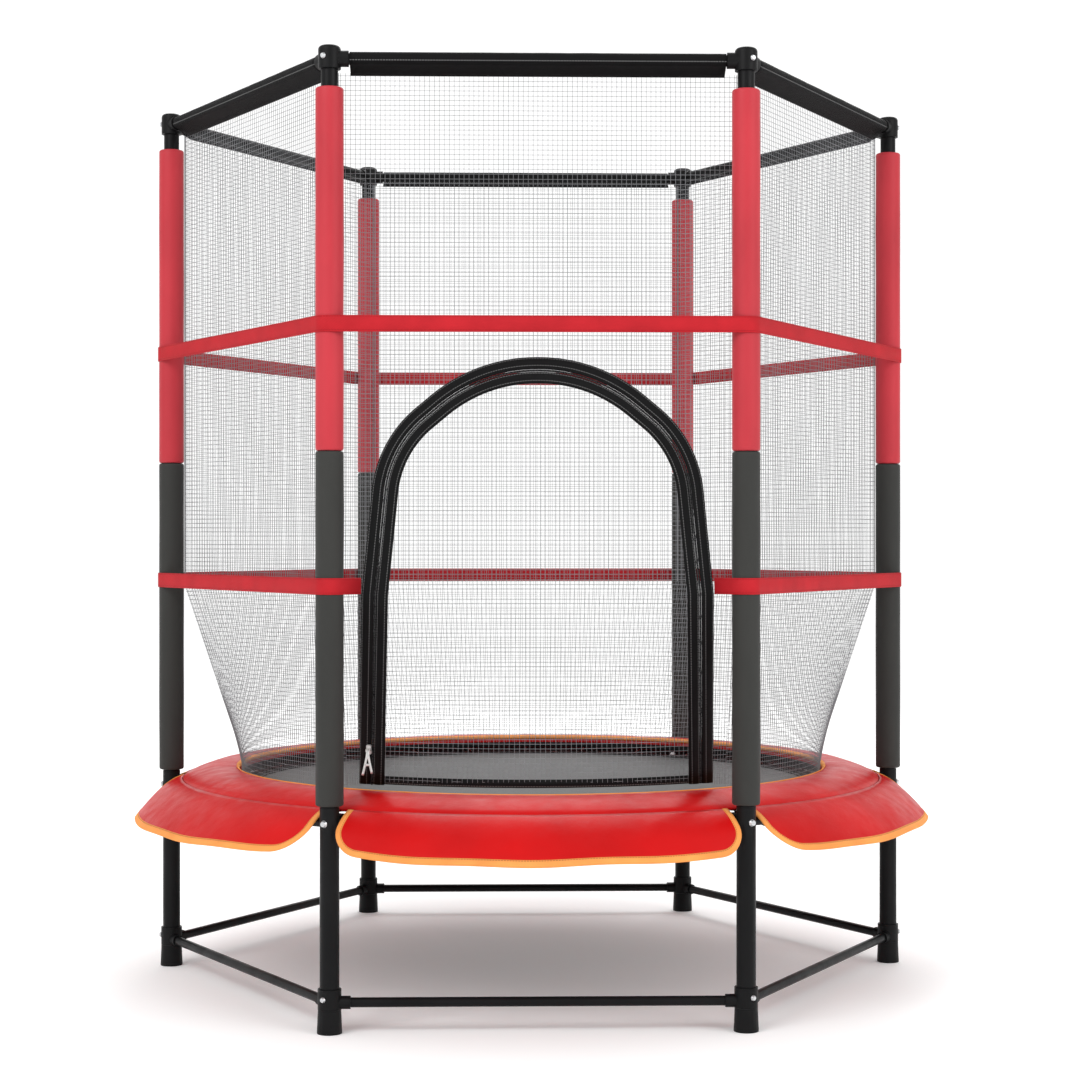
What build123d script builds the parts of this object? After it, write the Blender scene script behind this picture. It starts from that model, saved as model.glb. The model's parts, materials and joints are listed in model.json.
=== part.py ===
"""Enclosed trampoline for small children: a six-legged ring frame with an elastic mat,
six padded posts with top rails, a net with a zipped arch door, and a padded edge cover.

Millimetres. The origin is the centre of the footprint on the floor, +Z is up and the
door faces -Y. Posts stand at every 60 degrees, sides lie between them.
"""

import os
from math import acos, asin, atan2, cos, degrees, hypot, radians, sin, tan

from build123d import *

# Posts and sides of the hexagon, by compass angle in degrees
POSTS = {
    "right": 0,
    "rear_right": 60,
    "rear_left": 120,
    "left": 180,
    "front_left": 240,
    "front_right": 300,
}
SIDES = {
    "back_right": 30,
    "back": 90,
    "back_left": 150,
    "front_left": 210,
    "front": 270,
    "front_right": 330,
}
HALF_SIDE = 30
POSTS_BEFORE_FRONT = 5

# Overall sizes
enclosure_height = 1600
post_circle_radius = 677
fit_gap = 0.3

# Legs, foot caps and the lower crossbars
leg_diameter = 32
leg_wall = 1.5
leg_above_ring = 26
foot_cap_floor = 4
foot_cap_height = 38.5
foot_cap_diameter = 38
foot_cap_flare = 41
collar_height = 33
collar_wall = 3
collar_bolt_share = 0.55
socket_reach = 34
socket_wall = 2.4
crossbar_diameter = 16
crossbar_wall = 1.2
crossbar_end_play = 1

# Ring that carries the mat
ring_height = 340
ring_diameter = 25
ring_wall = 1.5
ring_joint_gap = 3
splice_length_angle = 7
saddle_thickness = 5
saddle_width = 22
saddle_height = 24

# Posts, foam sleeves and top rails
pole_diameter = 28
pole_wall = 1.3
pole_below_ring = 140
foam_diameter = 46
foam_above_leg = 2
foam_colour_change = 943
bare_pole = 30
foam_joint_gap = 0.5
foam_end_radius = 4
cap_diameter = 37
cap_height = 38
cap_roof = 6
cap_dome = 7
cap_socket_reach = 31
rail_diameter = 19
rail_wall = 1.2
rail_drop = 21
rail_socket_wall = 3.4

# Bolts
ring_bolt_diameter = 6
small_bolt_diameter = 5
bolt_head_height = 4
nut_height = 5
nut_across_flats = 10
bolt_hole_play = 0.5

# Mat, its edge webbing, wire rings and elastic loops
mat_to_ring_gap = 73
mat_thickness = 2.4
mat_above_ring = 5
mat_edge_width = 44
mat_edge_thickness = 1.6
loop_count = 30
wire_ring_width = 22
wire_ring_length = 14
wire_diameter = 2.6
loop_cord = 2.6
loop_width = 7
loop_eye_radius = 2.1

# Edge pad and its skirt
pad_over_mat = 12
pad_past_ring = 6.5
pad_above_loops = 0.6
pad_rim_thickness = 27
pad_crown_thickness = 24
pad_crown_width = 54
pad_fold_thickness = 5
pad_cover_thickness = 1.2
skirt_overhang = 66
skirt_drop = 61
skirt_thickness = 2.4
skirt_mid_rise = 10
skirt_leg_gap = 4

# Net, bands and hem
net_thickness = 1.5
net_clear_of_foam = 2
net_below_rail = 23
lower_band_height = 724
upper_band_height = 1148
band_width = 27
band_thickness = 2
net_above_pad = 3
net_clear_of_pad = 4
door_side_margin_angle = 2.6
hem_thickness = 1.2
hem_tail_rise = 8
tie_width = 14
tie_thickness = 1
tie_count = 12
hem_strip_count = 12

# Door: an arch in the front net, its border split by the zip
arch_foot_half_width = 298
arch_bend_half_width = 288
arch_shoulder_half_width = 263
arch_shoulder_height = 962
arch_crown_half_width = 100
arch_top = 1098
arch_shoulder_round = 200
arch_crown_round = 270
door_above_taper = 4
border_width = 20
border_thickness = 3
zip_width = 3
zip_thickness = 4.4
zip_gap = 0.6
door_gap = 1.5
door_border_width = 19

# Zip slider and pull
slider_above_door_foot = 62
slider_width = 8
slider_length = 16
slider_depth = 4
slider_stand_off = 2.2
slider_offset = 4.5
slider_turn_share = 0.5
bridge_height = 5
bridge_thickness = 2
pull_pin_clearance = 0.25
pull_width = 9
pull_length = 40
pull_thickness = 1.8

# Derived sizes
leg_radius = leg_diameter / 2
leg_bore = leg_radius - leg_wall
pole_radius = pole_diameter / 2
foam_radius = foam_diameter / 2
ring_radius = ring_diameter / 2
ring_circle = post_circle_radius - leg_radius - saddle_thickness - ring_radius
side_length = post_circle_radius
leg_top = ring_height + leg_above_ring
pole_foot = ring_height - pole_below_ring
foam_lower_end = leg_top + foam_above_leg
foam_upper_end = enclosure_height - cap_height - bare_pole
mat_radius = ring_circle - ring_radius - mat_to_ring_gap
mat_height = ring_height + mat_above_ring
pad_inner_radius = mat_radius - pad_over_mat
pad_crown_radius = pad_inner_radius + pad_crown_width
pad_fold_radius = ring_circle + pad_past_ring
pad_under = ring_height + ring_radius + fit_gap + loop_cord + pad_above_loops
pad_inner_top = pad_under + pad_rim_thickness
pad_crown_top = pad_under + pad_crown_thickness
pad_fold_top = pad_under + pad_fold_thickness
skirt_radius = post_circle_radius + skirt_overhang
skirt_bottom = pad_fold_top - skirt_drop
skirt_half_angle = HALF_SIDE - degrees((leg_radius + skirt_leg_gap) / post_circle_radius)
side_apothem = post_circle_radius * cos(radians(HALF_SIDE))
rail_height = enclosure_height - rail_drop
net_top = rail_height - net_below_rail
net_taper_end = pad_inner_top + net_above_pad
net_bottom = pad_under + net_thickness
net_foot_radius = pad_inner_radius - net_clear_of_pad
door_bottom = net_taper_end + door_above_taper
slider_start = door_bottom + slider_above_door_foot
net_corner = post_circle_radius - foam_radius - net_clear_of_foam
net_apothem = net_corner * cos(radians(HALF_SIDE))
net_half_side = net_corner * sin(radians(HALF_SIDE))
net_bend = lower_band_height - band_width / 2
zip_line_inset = border_width + zip_gap + zip_width / 2
door_border_inset = border_width + zip_gap + zip_width + zip_gap
door_mesh_inset = door_border_inset + door_border_width + zip_gap
collar_radius = leg_radius + fit_gap + collar_wall
crossbar_socket_radius = crossbar_diameter / 2 + fit_gap + socket_wall
crossbar_height = foot_cap_height + fit_gap + crossbar_socket_radius
collar_bolt_height = foot_cap_height + collar_height * collar_bolt_share


def post_plane(angle, height=0):
    """Level plane on a post's axis, with x pointing away from the trampoline's centre."""
    out = (cos(radians(angle)), sin(radians(angle)), 0)
    origin = (post_circle_radius * out[0], post_circle_radius * out[1], height)
    return Plane(origin=origin, x_dir=out, z_dir=(0, 0, 1))


def outward_plane(angle, radius, height):
    """Upright plane facing outward at a compass angle, with y pointing up."""
    out = (cos(radians(angle)), sin(radians(angle)), 0)
    across = (-out[1], out[0], 0)
    origin = (radius * out[0], radius * out[1], height)
    return Plane(origin=origin, x_dir=across, z_dir=out)


def profile_plane(angle):
    """Upright plane through the centre line: x is the distance from it, y the height."""
    out = (cos(radians(angle)), sin(radians(angle)), 0)
    return Plane(origin=(0, 0, 0), x_dir=out, z_dir=(out[1], -out[0], 0))


def neighbour_plane(post_angle, turn, height):
    """Upright plane on a post's axis facing along the side to the next post."""
    base = post_plane(post_angle, height)
    heading = radians(post_angle + turn)
    along = (cos(heading), sin(heading), 0)
    return Plane(origin=base.origin, x_dir=(-along[1], along[0], 0), z_dir=along)


def side_plane(side_angle, height):
    """Upright plane at the middle of a side, facing along the side."""
    out = (cos(radians(side_angle)), sin(radians(side_angle)), 0)
    origin = (side_apothem * out[0], side_apothem * out[1], height)
    return Plane(origin=origin, x_dir=out, z_dir=(out[1], -out[0], 0))


def save(part, name):
    """Labels a finished piece and writes its STEP file."""
    part.label = name
    export_step(part, f"parts/{name}.step")


def make_leg(angle):
    with BuildPart() as leg:
        with BuildSketch(post_plane(angle, foot_cap_floor)):
            Circle(leg_radius)
            Circle(leg_bore, mode=Mode.SUBTRACT)
        extrude(amount=leg_top - foot_cap_floor)
        with BuildSketch(outward_plane(angle, post_circle_radius, ring_height)):
            Circle((ring_bolt_diameter + bolt_hole_play) / 2)
        extrude(amount=leg_diameter, both=True, mode=Mode.SUBTRACT)
        with BuildSketch(outward_plane(angle, post_circle_radius, collar_bolt_height)):
            Circle((small_bolt_diameter + bolt_hole_play) / 2)
        extrude(amount=leg_diameter, mode=Mode.SUBTRACT)
    return leg.part


def make_foot_caps():
    with BuildPart() as foot_caps:
        for angle in POSTS.values():
            with BuildSketch(post_plane(angle)):
                Circle(foot_cap_flare / 2)
            extrude(amount=foot_cap_floor)
            with BuildSketch(post_plane(angle, foot_cap_floor)):
                Circle(foot_cap_flare / 2)
            with BuildSketch(post_plane(angle, foot_cap_height)):
                Circle(foot_cap_diameter / 2)
            loft()
            with BuildSketch(post_plane(angle, foot_cap_floor)):
                Circle(leg_radius + fit_gap)
            extrude(amount=foot_cap_height, mode=Mode.SUBTRACT)
    return foot_caps.part


def make_lower_collars():
    """Sleeves on the legs, each with two sockets that hold the crossbar ends."""
    with BuildPart() as collars:
        for angle in POSTS.values():
            with BuildSketch(post_plane(angle, foot_cap_height + fit_gap)):
                Circle(collar_radius)
            extrude(amount=collar_height)
            for turn in (120, -120):
                with BuildSketch(neighbour_plane(angle, turn, crossbar_height)):
                    Circle(crossbar_socket_radius)
                extrude(amount=socket_reach)
                with BuildSketch(neighbour_plane(angle, turn, crossbar_height)):
                    Circle(crossbar_diameter / 2 + fit_gap)
                extrude(amount=socket_reach, mode=Mode.SUBTRACT)
            with BuildSketch(post_plane(angle)):
                Circle(leg_radius + fit_gap)
            extrude(amount=leg_top, mode=Mode.SUBTRACT)
            with BuildSketch(outward_plane(angle, post_circle_radius, collar_bolt_height)):
                Circle((small_bolt_diameter + bolt_hole_play) / 2)
            extrude(amount=leg_diameter, mode=Mode.SUBTRACT)
    return collars.part


def make_crossbar(side_angle):
    """Straight tube between two collars, ending just clear of the legs."""
    half_length = side_length / 2 - leg_radius - fit_gap - crossbar_end_play
    with BuildPart() as crossbar:
        with BuildSketch(side_plane(side_angle, crossbar_height)):
            Circle(crossbar_diameter / 2)
            Circle(crossbar_diameter / 2 - crossbar_wall, mode=Mode.SUBTRACT)
        extrude(amount=half_length, both=True)
    return crossbar.part


def make_ring_rail(side_angle):
    """One sixth of the ring tube, from one post's joint to the next."""
    half_gap = degrees(ring_joint_gap / 2 / ring_circle)
    start = side_angle - HALF_SIDE + half_gap
    bolt_cut = (ring_bolt_diameter + bolt_hole_play) / 2
    with BuildPart() as rail:
        with BuildSketch(profile_plane(start)):
            with Locations((ring_circle, ring_height)):
                Circle(ring_radius)
                Circle(ring_radius - ring_wall, mode=Mode.SUBTRACT)
        revolve(axis=Axis.Z, revolution_arc=2 * (HALF_SIDE - half_gap))
        for end in (-HALF_SIDE, HALF_SIDE):
            with BuildSketch(outward_plane(side_angle + end, ring_circle, ring_height)):
                Circle(bolt_cut)
            extrude(amount=ring_diameter, both=True, mode=Mode.SUBTRACT)
    return rail.part


def make_ring_splices():
    """Short sleeves inside the ring tube that join its six rails."""
    bolt_cut = (ring_bolt_diameter + bolt_hole_play) / 2
    with BuildPart() as splices:
        for angle in POSTS.values():
            with BuildSketch(profile_plane(angle - splice_length_angle / 2)):
                with Locations((ring_circle, ring_height)):
                    Circle(ring_radius - ring_wall - fit_gap)
                    Circle(ring_radius - 2 * ring_wall - fit_gap, mode=Mode.SUBTRACT)
            revolve(axis=Axis.Z, revolution_arc=splice_length_angle)
            with BuildSketch(outward_plane(angle, ring_circle, ring_height)):
                Circle(bolt_cut)
            extrude(amount=ring_diameter, both=True, mode=Mode.SUBTRACT)
    return splices.part


def make_ring_saddles():
    """Spacers shaped to the leg on one side and to the ring tube on the other."""
    inner = ring_circle
    depth = post_circle_radius - inner
    with BuildPart() as saddles:
        for angle in POSTS.values():
            with BuildSketch(outward_plane(angle, inner, ring_height)):
                Rectangle(saddle_width, saddle_height)
            extrude(amount=depth)
            with BuildSketch(post_plane(angle)):
                Circle(leg_radius + fit_gap)
            extrude(amount=leg_top, mode=Mode.SUBTRACT)
            with BuildSketch(profile_plane(angle - splice_length_angle / 2)):
                with Locations((ring_circle, ring_height)):
                    Circle(ring_radius + fit_gap)
            revolve(axis=Axis.Z, revolution_arc=splice_length_angle, mode=Mode.SUBTRACT)
            with BuildSketch(outward_plane(angle, inner, ring_height)):
                Circle((ring_bolt_diameter + bolt_hole_play) / 2)
            extrude(amount=depth, mode=Mode.SUBTRACT)
    return saddles.part


def make_ring_bolts():
    """Bolts through leg, pole, saddle and ring, with their domed heads outside."""
    head_base = post_circle_radius + leg_radius + fit_gap
    nut_end = ring_circle - ring_radius - fit_gap - nut_height
    with BuildPart() as bolts:
        for angle in POSTS.values():
            with BuildSketch(outward_plane(angle, nut_end, ring_height)):
                Circle(ring_bolt_diameter / 2)
            extrude(amount=head_base - nut_end)
            with BuildSketch(outward_plane(angle, head_base, ring_height)):
                Circle(ring_bolt_diameter)
            extrude(amount=bolt_head_height, taper=25)
    return bolts.part


def make_ring_nuts():
    nut_end = ring_circle - ring_radius - fit_gap - nut_height
    with BuildPart() as nuts:
        for angle in POSTS.values():
            with BuildSketch(outward_plane(angle, nut_end, ring_height)):
                RegularPolygon(nut_across_flats / 2, 6, major_radius=False)
                Circle(ring_bolt_diameter / 2 + fit_gap / 3, mode=Mode.SUBTRACT)
            extrude(amount=nut_height)
    return nuts.part


def make_small_bolts():
    """Screws that hold the collars to the legs and the corner caps to the poles."""
    places = [
        (collar_radius, collar_bolt_height, leg_bore),
        (cap_diameter / 2, rail_height + 2, pole_radius - pole_wall),
    ]
    with BuildPart() as screws:
        for angle in POSTS.values():
            for outside, height, inside in places:
                reach = outside - inside + 2
                start = post_circle_radius + inside - 2
                with BuildSketch(outward_plane(angle, start, height)):
                    Circle(small_bolt_diameter / 2)
                extrude(amount=reach + fit_gap)
                with BuildSketch(outward_plane(angle, start + reach + fit_gap, height)):
                    Circle(small_bolt_diameter * 0.95)
                extrude(amount=bolt_head_height * 0.7, taper=25)
    return screws.part


def make_pole(angle):
    top = enclosure_height - cap_roof - fit_gap
    with BuildPart() as pole:
        with BuildSketch(post_plane(angle, pole_foot)):
            Circle(pole_radius)
            Circle(pole_radius - pole_wall, mode=Mode.SUBTRACT)
        extrude(amount=top - pole_foot)
        with BuildSketch(outward_plane(angle, post_circle_radius, ring_height)):
            Circle((ring_bolt_diameter + bolt_hole_play) / 2)
        extrude(amount=leg_diameter, both=True, mode=Mode.SUBTRACT)
        with BuildSketch(outward_plane(angle, post_circle_radius, rail_height + 2)):
            Circle((small_bolt_diameter + bolt_hole_play) / 2)
        extrude(amount=leg_diameter, mode=Mode.SUBTRACT)
    return pole.part


def make_foam_sleeves(low, high):
    """Foam tubes on the poles, with softly rounded ends."""
    with BuildPart() as sleeves:
        for angle in POSTS.values():
            with BuildSketch(post_plane(angle, low)):
                Circle(foam_radius)
            extrude(amount=high - low)
        rims = sleeves.edges().filter_by(GeomType.CIRCLE)
        fillet(rims, foam_end_radius)
        for angle in POSTS.values():
            with BuildSketch(post_plane(angle, low)):
                Circle(pole_radius + fit_gap)
            extrude(amount=high - low, mode=Mode.SUBTRACT)
    return sleeves.part


def make_corner_caps():
    """Domed caps on the poles, each with two sockets for the top rails."""
    base = enclosure_height - cap_height
    with BuildPart() as caps:
        for angle in POSTS.values():
            with BuildSketch(post_plane(angle, base)):
                Circle(cap_diameter / 2)
            extrude(amount=cap_height)
        domes = caps.edges().group_by(Axis.Z)[-1]
        fillet(domes, cap_dome)
        for angle in POSTS.values():
            for turn in (120, -120):
                with BuildSketch(neighbour_plane(angle, turn, rail_height)):
                    Circle(rail_diameter / 2 + fit_gap + rail_socket_wall)
                extrude(amount=cap_socket_reach)
                with BuildSketch(neighbour_plane(angle, turn, rail_height)):
                    Circle(rail_diameter / 2 + fit_gap)
                extrude(amount=cap_socket_reach, mode=Mode.SUBTRACT)
            with BuildSketch(post_plane(angle, base)):
                Circle(pole_radius + fit_gap)
            extrude(amount=cap_height - cap_roof, mode=Mode.SUBTRACT)
            with BuildSketch(outward_plane(angle, post_circle_radius, rail_height + 2)):
                Circle((small_bolt_diameter + bolt_hole_play) / 2)
            extrude(amount=leg_diameter, mode=Mode.SUBTRACT)
    return caps.part


def make_top_rail(side_angle):
    half_length = side_length / 2 - pole_radius - fit_gap - crossbar_end_play
    with BuildPart() as rail:
        with BuildSketch(side_plane(side_angle, rail_height)):
            Circle(rail_diameter / 2)
            Circle(rail_diameter / 2 - rail_wall, mode=Mode.SUBTRACT)
        extrude(amount=half_length, both=True)
    return rail.part


def make_net_hem():
    """Fabric sleeves round the top rails, each with a tail down to the net."""
    sleeve_inner = rail_diameter / 2 + fit_gap
    sleeve_outer = sleeve_inner + hem_thickness
    half_length = side_length / 2 - cap_socket_reach - 2
    tail_in = net_apothem - side_apothem
    tail_low = net_top + fit_gap - rail_height
    with BuildPart() as hem:
        for side_angle in SIDES.values():
            with BuildSketch(side_plane(side_angle, rail_height)):
                Circle(sleeve_outer)
                with BuildLine():
                    Polyline(
                        (-sleeve_outer * 0.8, hem_tail_rise - sleeve_outer),
                        (tail_in - hem_thickness / 2, tail_low),
                        (tail_in + hem_thickness / 2, tail_low),
                        (0, -sleeve_inner - hem_thickness / 2),
                        close=True,
                    )
                make_face()
                Circle(sleeve_inner, mode=Mode.SUBTRACT)
            extrude(amount=half_length, both=True)
    return hem.part


def make_mat():
    with BuildPart() as mat:
        with BuildSketch(Plane.XY.offset(mat_height - mat_thickness / 2)):
            Circle(mat_radius)
        extrude(amount=mat_thickness)
    return mat.part


def make_mat_edge():
    """Doubled webbing sewn on the mat's upper rim."""
    with BuildPart() as edge:
        with BuildSketch(Plane.XY.offset(mat_height + mat_thickness / 2)):
            Circle(mat_radius)
            Circle(mat_radius - mat_edge_width, mode=Mode.SUBTRACT)
        extrude(amount=mat_edge_thickness)
    return edge.part


def loop_angles():
    return [(k + 0.5) * 360 / loop_count for k in range(loop_count)]


def make_mat_rings():
    """Flat wire rings at the mat's rim that take the elastic loops."""
    start = mat_radius + fit_gap
    with BuildPart() as rings:
        for angle in loop_angles():
            out = (cos(radians(angle)), sin(radians(angle)), 0)
            centre = start + wire_ring_length / 2
            origin = (centre * out[0], centre * out[1], mat_height - wire_diameter / 2)
            with BuildSketch(Plane(origin=origin, x_dir=out, z_dir=(0, 0, 1))):
                RectangleRounded(wire_ring_length, wire_ring_width, wire_diameter * 1.2)
                inside = (wire_ring_length - 2 * wire_diameter, wire_ring_width - 2 * wire_diameter)
                Rectangle(*inside, mode=Mode.SUBTRACT)
            extrude(amount=wire_diameter)
    return rings.part


def make_elastic_loops():
    """Elastic loops from the ring tube to the wire rings."""
    bar = mat_radius + fit_gap + wire_ring_length - wire_diameter / 2
    tube_wrap = ring_radius + fit_gap
    with BuildPart() as loops:
        for angle in loop_angles():
            plane = profile_plane(angle)
            with BuildSketch(plane):
                with Locations((ring_circle, ring_height)):
                    Circle(tube_wrap + loop_cord)
                with Locations((bar, mat_height)):
                    Circle(loop_eye_radius + loop_cord)
                make_hull()
                with Locations((ring_circle, ring_height)):
                    Circle(tube_wrap, mode=Mode.SUBTRACT)
                with Locations((bar, mat_height)):
                    Circle(loop_eye_radius, mode=Mode.SUBTRACT)
            extrude(amount=loop_width / 2, both=True)
    return loops.part


def make_pad_foam():
    """Six foam arcs inside the edge cover, thick at the mat and thin at the ring."""
    skin = pad_cover_thickness + fit_gap
    with BuildPart() as foam:
        for side_angle in SIDES.values():
            with BuildSketch(profile_plane(side_angle - HALF_SIDE + 0.1)):
                with BuildLine():
                    Polyline(
                        (pad_inner_radius + skin, pad_under),
                        (pad_inner_radius + skin, pad_inner_top - skin),
                        (pad_crown_radius, pad_crown_top - skin),
                        (pad_fold_radius - skin, pad_fold_top - skin / 2),
                        (pad_fold_radius - skin, pad_under),
                        close=True,
                    )
                make_face()
            revolve(axis=Axis.Z, revolution_arc=2 * HALF_SIDE - 0.2)
    return foam.part


def make_pad_cover():
    """Coated-fabric skin over the foam: inner rim and top."""
    skin = pad_cover_thickness
    with BuildPart() as cover:
        with BuildSketch(profile_plane(0)):
            with BuildLine():
                Polyline(
                    (pad_inner_radius, pad_under),
                    (pad_inner_radius, pad_inner_top),
                    (pad_crown_radius, pad_crown_top),
                    (pad_fold_radius, pad_fold_top),
                    (pad_fold_radius, pad_fold_top - skin / 2),
                    (pad_crown_radius, pad_crown_top - skin),
                    (pad_inner_radius + skin, pad_inner_top - skin),
                    (pad_inner_radius + skin, pad_under),
                    close=True,
                )
            make_face()
        revolve(axis=Axis.Z)
    return cover.part


def make_skirt_flaps():
    """Six flaps that hang from the cover's fold, one between each pair of posts."""
    start = pad_fold_radius + skirt_thickness / 2 + fit_gap
    mid = (start + skirt_radius) / 2
    mid_height = (pad_fold_top + skirt_bottom) / 2 + skirt_mid_rise
    with BuildPart() as flaps:
        for side_angle in SIDES.values():
            with BuildSketch(profile_plane(side_angle - skirt_half_angle)):
                with BuildLine() as fall:
                    ThreePointArc(
                        (start, pad_fold_top - skirt_thickness / 2),
                        (mid, mid_height),
                        (skirt_radius - skirt_thickness / 2, skirt_bottom + skirt_thickness / 2),
                    )
                trace(fall.line, skirt_thickness)
            revolve(axis=Axis.Z, revolution_arc=2 * skirt_half_angle)
    return flaps.part


def hexagon_strip(side_angle, thickness, height, end_gap):
    """Level face along one side of the net's hexagon, with mitred ends."""
    half_width = net_half_side - end_gap
    mitre = thickness / 2 * tan(radians(HALF_SIDE))
    inner = -net_apothem + thickness / 2
    outer = -net_apothem - thickness / 2
    out = radians(side_angle)
    plane = Plane(origin=(0, 0, height), x_dir=(-sin(out), cos(out), 0), z_dir=(0, 0, 1))
    with BuildSketch(plane) as strip:
        with BuildLine():
            Polyline(
                (-half_width + mitre, inner),
                (-half_width - mitre, outer),
                (half_width + mitre, outer),
                (half_width - mitre, inner),
                close=True,
            )
        make_face()
    return strip.sketch.face()


def arc_strip(start_angle, end_angle, thickness, height):
    """Level face along the net's lower circle between two compass angles."""
    inner = net_foot_radius - thickness / 2
    outer = net_foot_radius + thickness / 2
    middle = (start_angle + end_angle) / 2
    corners = [(r, a) for r in (inner, outer) for a in (start_angle, middle, end_angle)]
    inside = [polar(*c) for c in corners[:3]]
    outside = [polar(*c) for c in corners[3:]]
    with BuildSketch(Plane.XY.offset(height)) as strip:
        with BuildLine():
            ThreePointArc(*inside)
            Line(inside[2], outside[2])
            ThreePointArc(*outside)
            Line(outside[0], inside[0])
        make_face()
    return strip.sketch.face()


def front_strip(x_from, x_to, thickness):
    """Level face of the front wall at the height where the net starts to taper."""
    with BuildSketch(Plane.XY.offset(net_bend)) as strip:
        with Locations(((x_from + x_to) / 2, -net_apothem)):
            Rectangle(abs(x_to - x_from), thickness)
    return strip.sketch.face()


def polar(radius, angle):
    return (radius * cos(radians(angle)), radius * sin(radians(angle)))


def arch_width(inset):
    """Half width of the arch at the bend, measured inset from its outer edge."""
    rise = arch_shoulder_height - net_bend
    lean = (arch_bend_half_width - arch_shoulder_half_width) / rise
    return arch_bend_half_width - inset * hypot(1, lean)


def door_side_angle():
    """Compass turn from the front to the corner where the front net meets its neighbour."""
    return arch_foot_angle(0) + door_side_margin_angle


def arch_foot_angle(inset):
    """Compass turn from the front to the arch's foot, inset from its outer edge."""
    return degrees(asin((arch_foot_half_width - inset) / net_foot_radius))


def arch_face(inset):
    """Upright face of the door arch above the bend, drawn inset from its outer edge."""
    below = 2 * (border_width + door_border_width)
    lean = (arch_bend_half_width - arch_shoulder_half_width) / (arch_shoulder_height - net_bend)
    low = net_bend - below
    low_half_width = arch_bend_half_width + below * lean
    with BuildSketch(Plane.XZ.offset(net_apothem)) as arch:
        with BuildLine():
            FilletPolyline(
                (-low_half_width, low),
                (-arch_shoulder_half_width, arch_shoulder_height),
                (-arch_crown_half_width, arch_top),
                (arch_crown_half_width, arch_top),
                (arch_shoulder_half_width, arch_shoulder_height),
                (low_half_width, low),
                radius=[
                    arch_shoulder_round,
                    arch_crown_round,
                    arch_crown_round,
                    arch_shoulder_round,
                ],
            )
            Line((-low_half_width, low), (low_half_width, low))
        make_face()
        if inset:
            offset(amount=-inset)
        with Locations((0, net_bend - enclosure_height / 2)):
            Rectangle(enclosure_height, enclosure_height, mode=Mode.SUBTRACT)
    return arch.sketch


def make_arch_band(outer_inset, inner_inset, thickness):
    """Arch-shaped strip: upright above the bend, following the taper below it."""
    with BuildPart() as band:
        extrude(arch_face(outer_inset), amount=thickness / 2, both=True)
        extrude(arch_face(inner_inset), amount=thickness, both=True, mode=Mode.SUBTRACT)
        for hand in (-1, 1):
            inner, outer = arch_width(inner_inset), arch_width(outer_inset)
            foot = (
                270 + hand * arch_foot_angle(inner_inset),
                270 + hand * arch_foot_angle(outer_inset),
            )
            top_face = front_strip(hand * inner, hand * outer, thickness)
            foot_face = arc_strip(min(foot), max(foot), thickness, door_bottom)
            loft([top_face, foot_face], ruled=True)
    return band.part


def make_door_mesh():
    """The door's net, upright above the bend and bowed towards its foot."""
    width = arch_width(door_mesh_inset)
    foot = arch_foot_angle(door_mesh_inset)
    with BuildPart() as mesh:
        extrude(arch_face(door_mesh_inset), amount=net_thickness / 2, both=True)
        top_face = front_strip(-width, width, net_thickness)
        foot_face = arc_strip(270 - foot, 270 + foot, net_thickness, door_bottom)
        loft([top_face, foot_face], ruled=True)
    return mesh.part


def make_upper_net():
    """The five flat net panels beside and behind the door side."""
    with BuildPart() as net:
        for name, side_angle in SIDES.items():
            if name != "front":
                extrude(hexagon_strip(side_angle, net_thickness, net_bend, fit_gap), net_top - net_bend)
    return net.part


def make_front_net():
    """The front net panel, cut out for the door arch."""
    with BuildPart() as net:
        extrude(hexagon_strip(270, net_thickness, net_bend, fit_gap), net_top - net_bend)
        extrude(arch_face(-fit_gap), amount=border_thickness, both=True, mode=Mode.SUBTRACT)
    return net.part


def make_lower_net():
    """Tapered panels from the hexagon down to the pad's inner edge, and their hem strips."""
    door_edge = arch_foot_angle(-door_gap)
    play = 0.1
    with BuildPart() as net:
        for name, side_angle in SIDES.items():
            low = side_angle - HALF_SIDE + play
            high = side_angle + HALF_SIDE - play
            if name == "front_left":
                high = 270 - door_side_angle() - play
            if name == "front_right":
                low = 270 + door_side_angle() + play
            if name != "front":
                top_face = hexagon_strip(side_angle, net_thickness, net_bend - fit_gap, fit_gap)
                loft([top_face, arc_strip(low, high, net_thickness, net_taper_end)], ruled=True)
        for hand in (-1, 1):
            foot = (270 + hand * door_edge, 270 + hand * door_side_angle())
            inner, outer = arch_width(-door_gap), net_half_side - 2 * fit_gap
            top_face = front_strip(hand * inner, hand * outer, net_thickness)
            loft([top_face, arc_strip(min(foot), max(foot), net_thickness, net_taper_end)], ruled=True)
        for k in range(hem_strip_count):
            low = 360 / hem_strip_count * k + play
            high = 360 / hem_strip_count * (k + 1) - play
            strip = arc_strip(low, high, net_thickness, net_bottom)
            extrude(strip, amount=net_taper_end - fit_gap - net_bottom)
    return net.part


def make_net_ties():
    """Flat straps under the pad from the net's hem to the top of the ring tube."""
    start = net_foot_radius + net_thickness / 2 + fit_gap
    base = ring_height + ring_radius + fit_gap
    with BuildPart() as ties:
        for k in range(tie_count):
            plane = profile_plane((k + 0.5) * 360 / tie_count)
            with BuildSketch(plane):
                with Locations(((start + ring_circle) / 2, base + tie_thickness / 2)):
                    Rectangle(ring_circle - start, tie_thickness)
            extrude(amount=tie_width / 2, both=True)
    return ties.part


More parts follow.
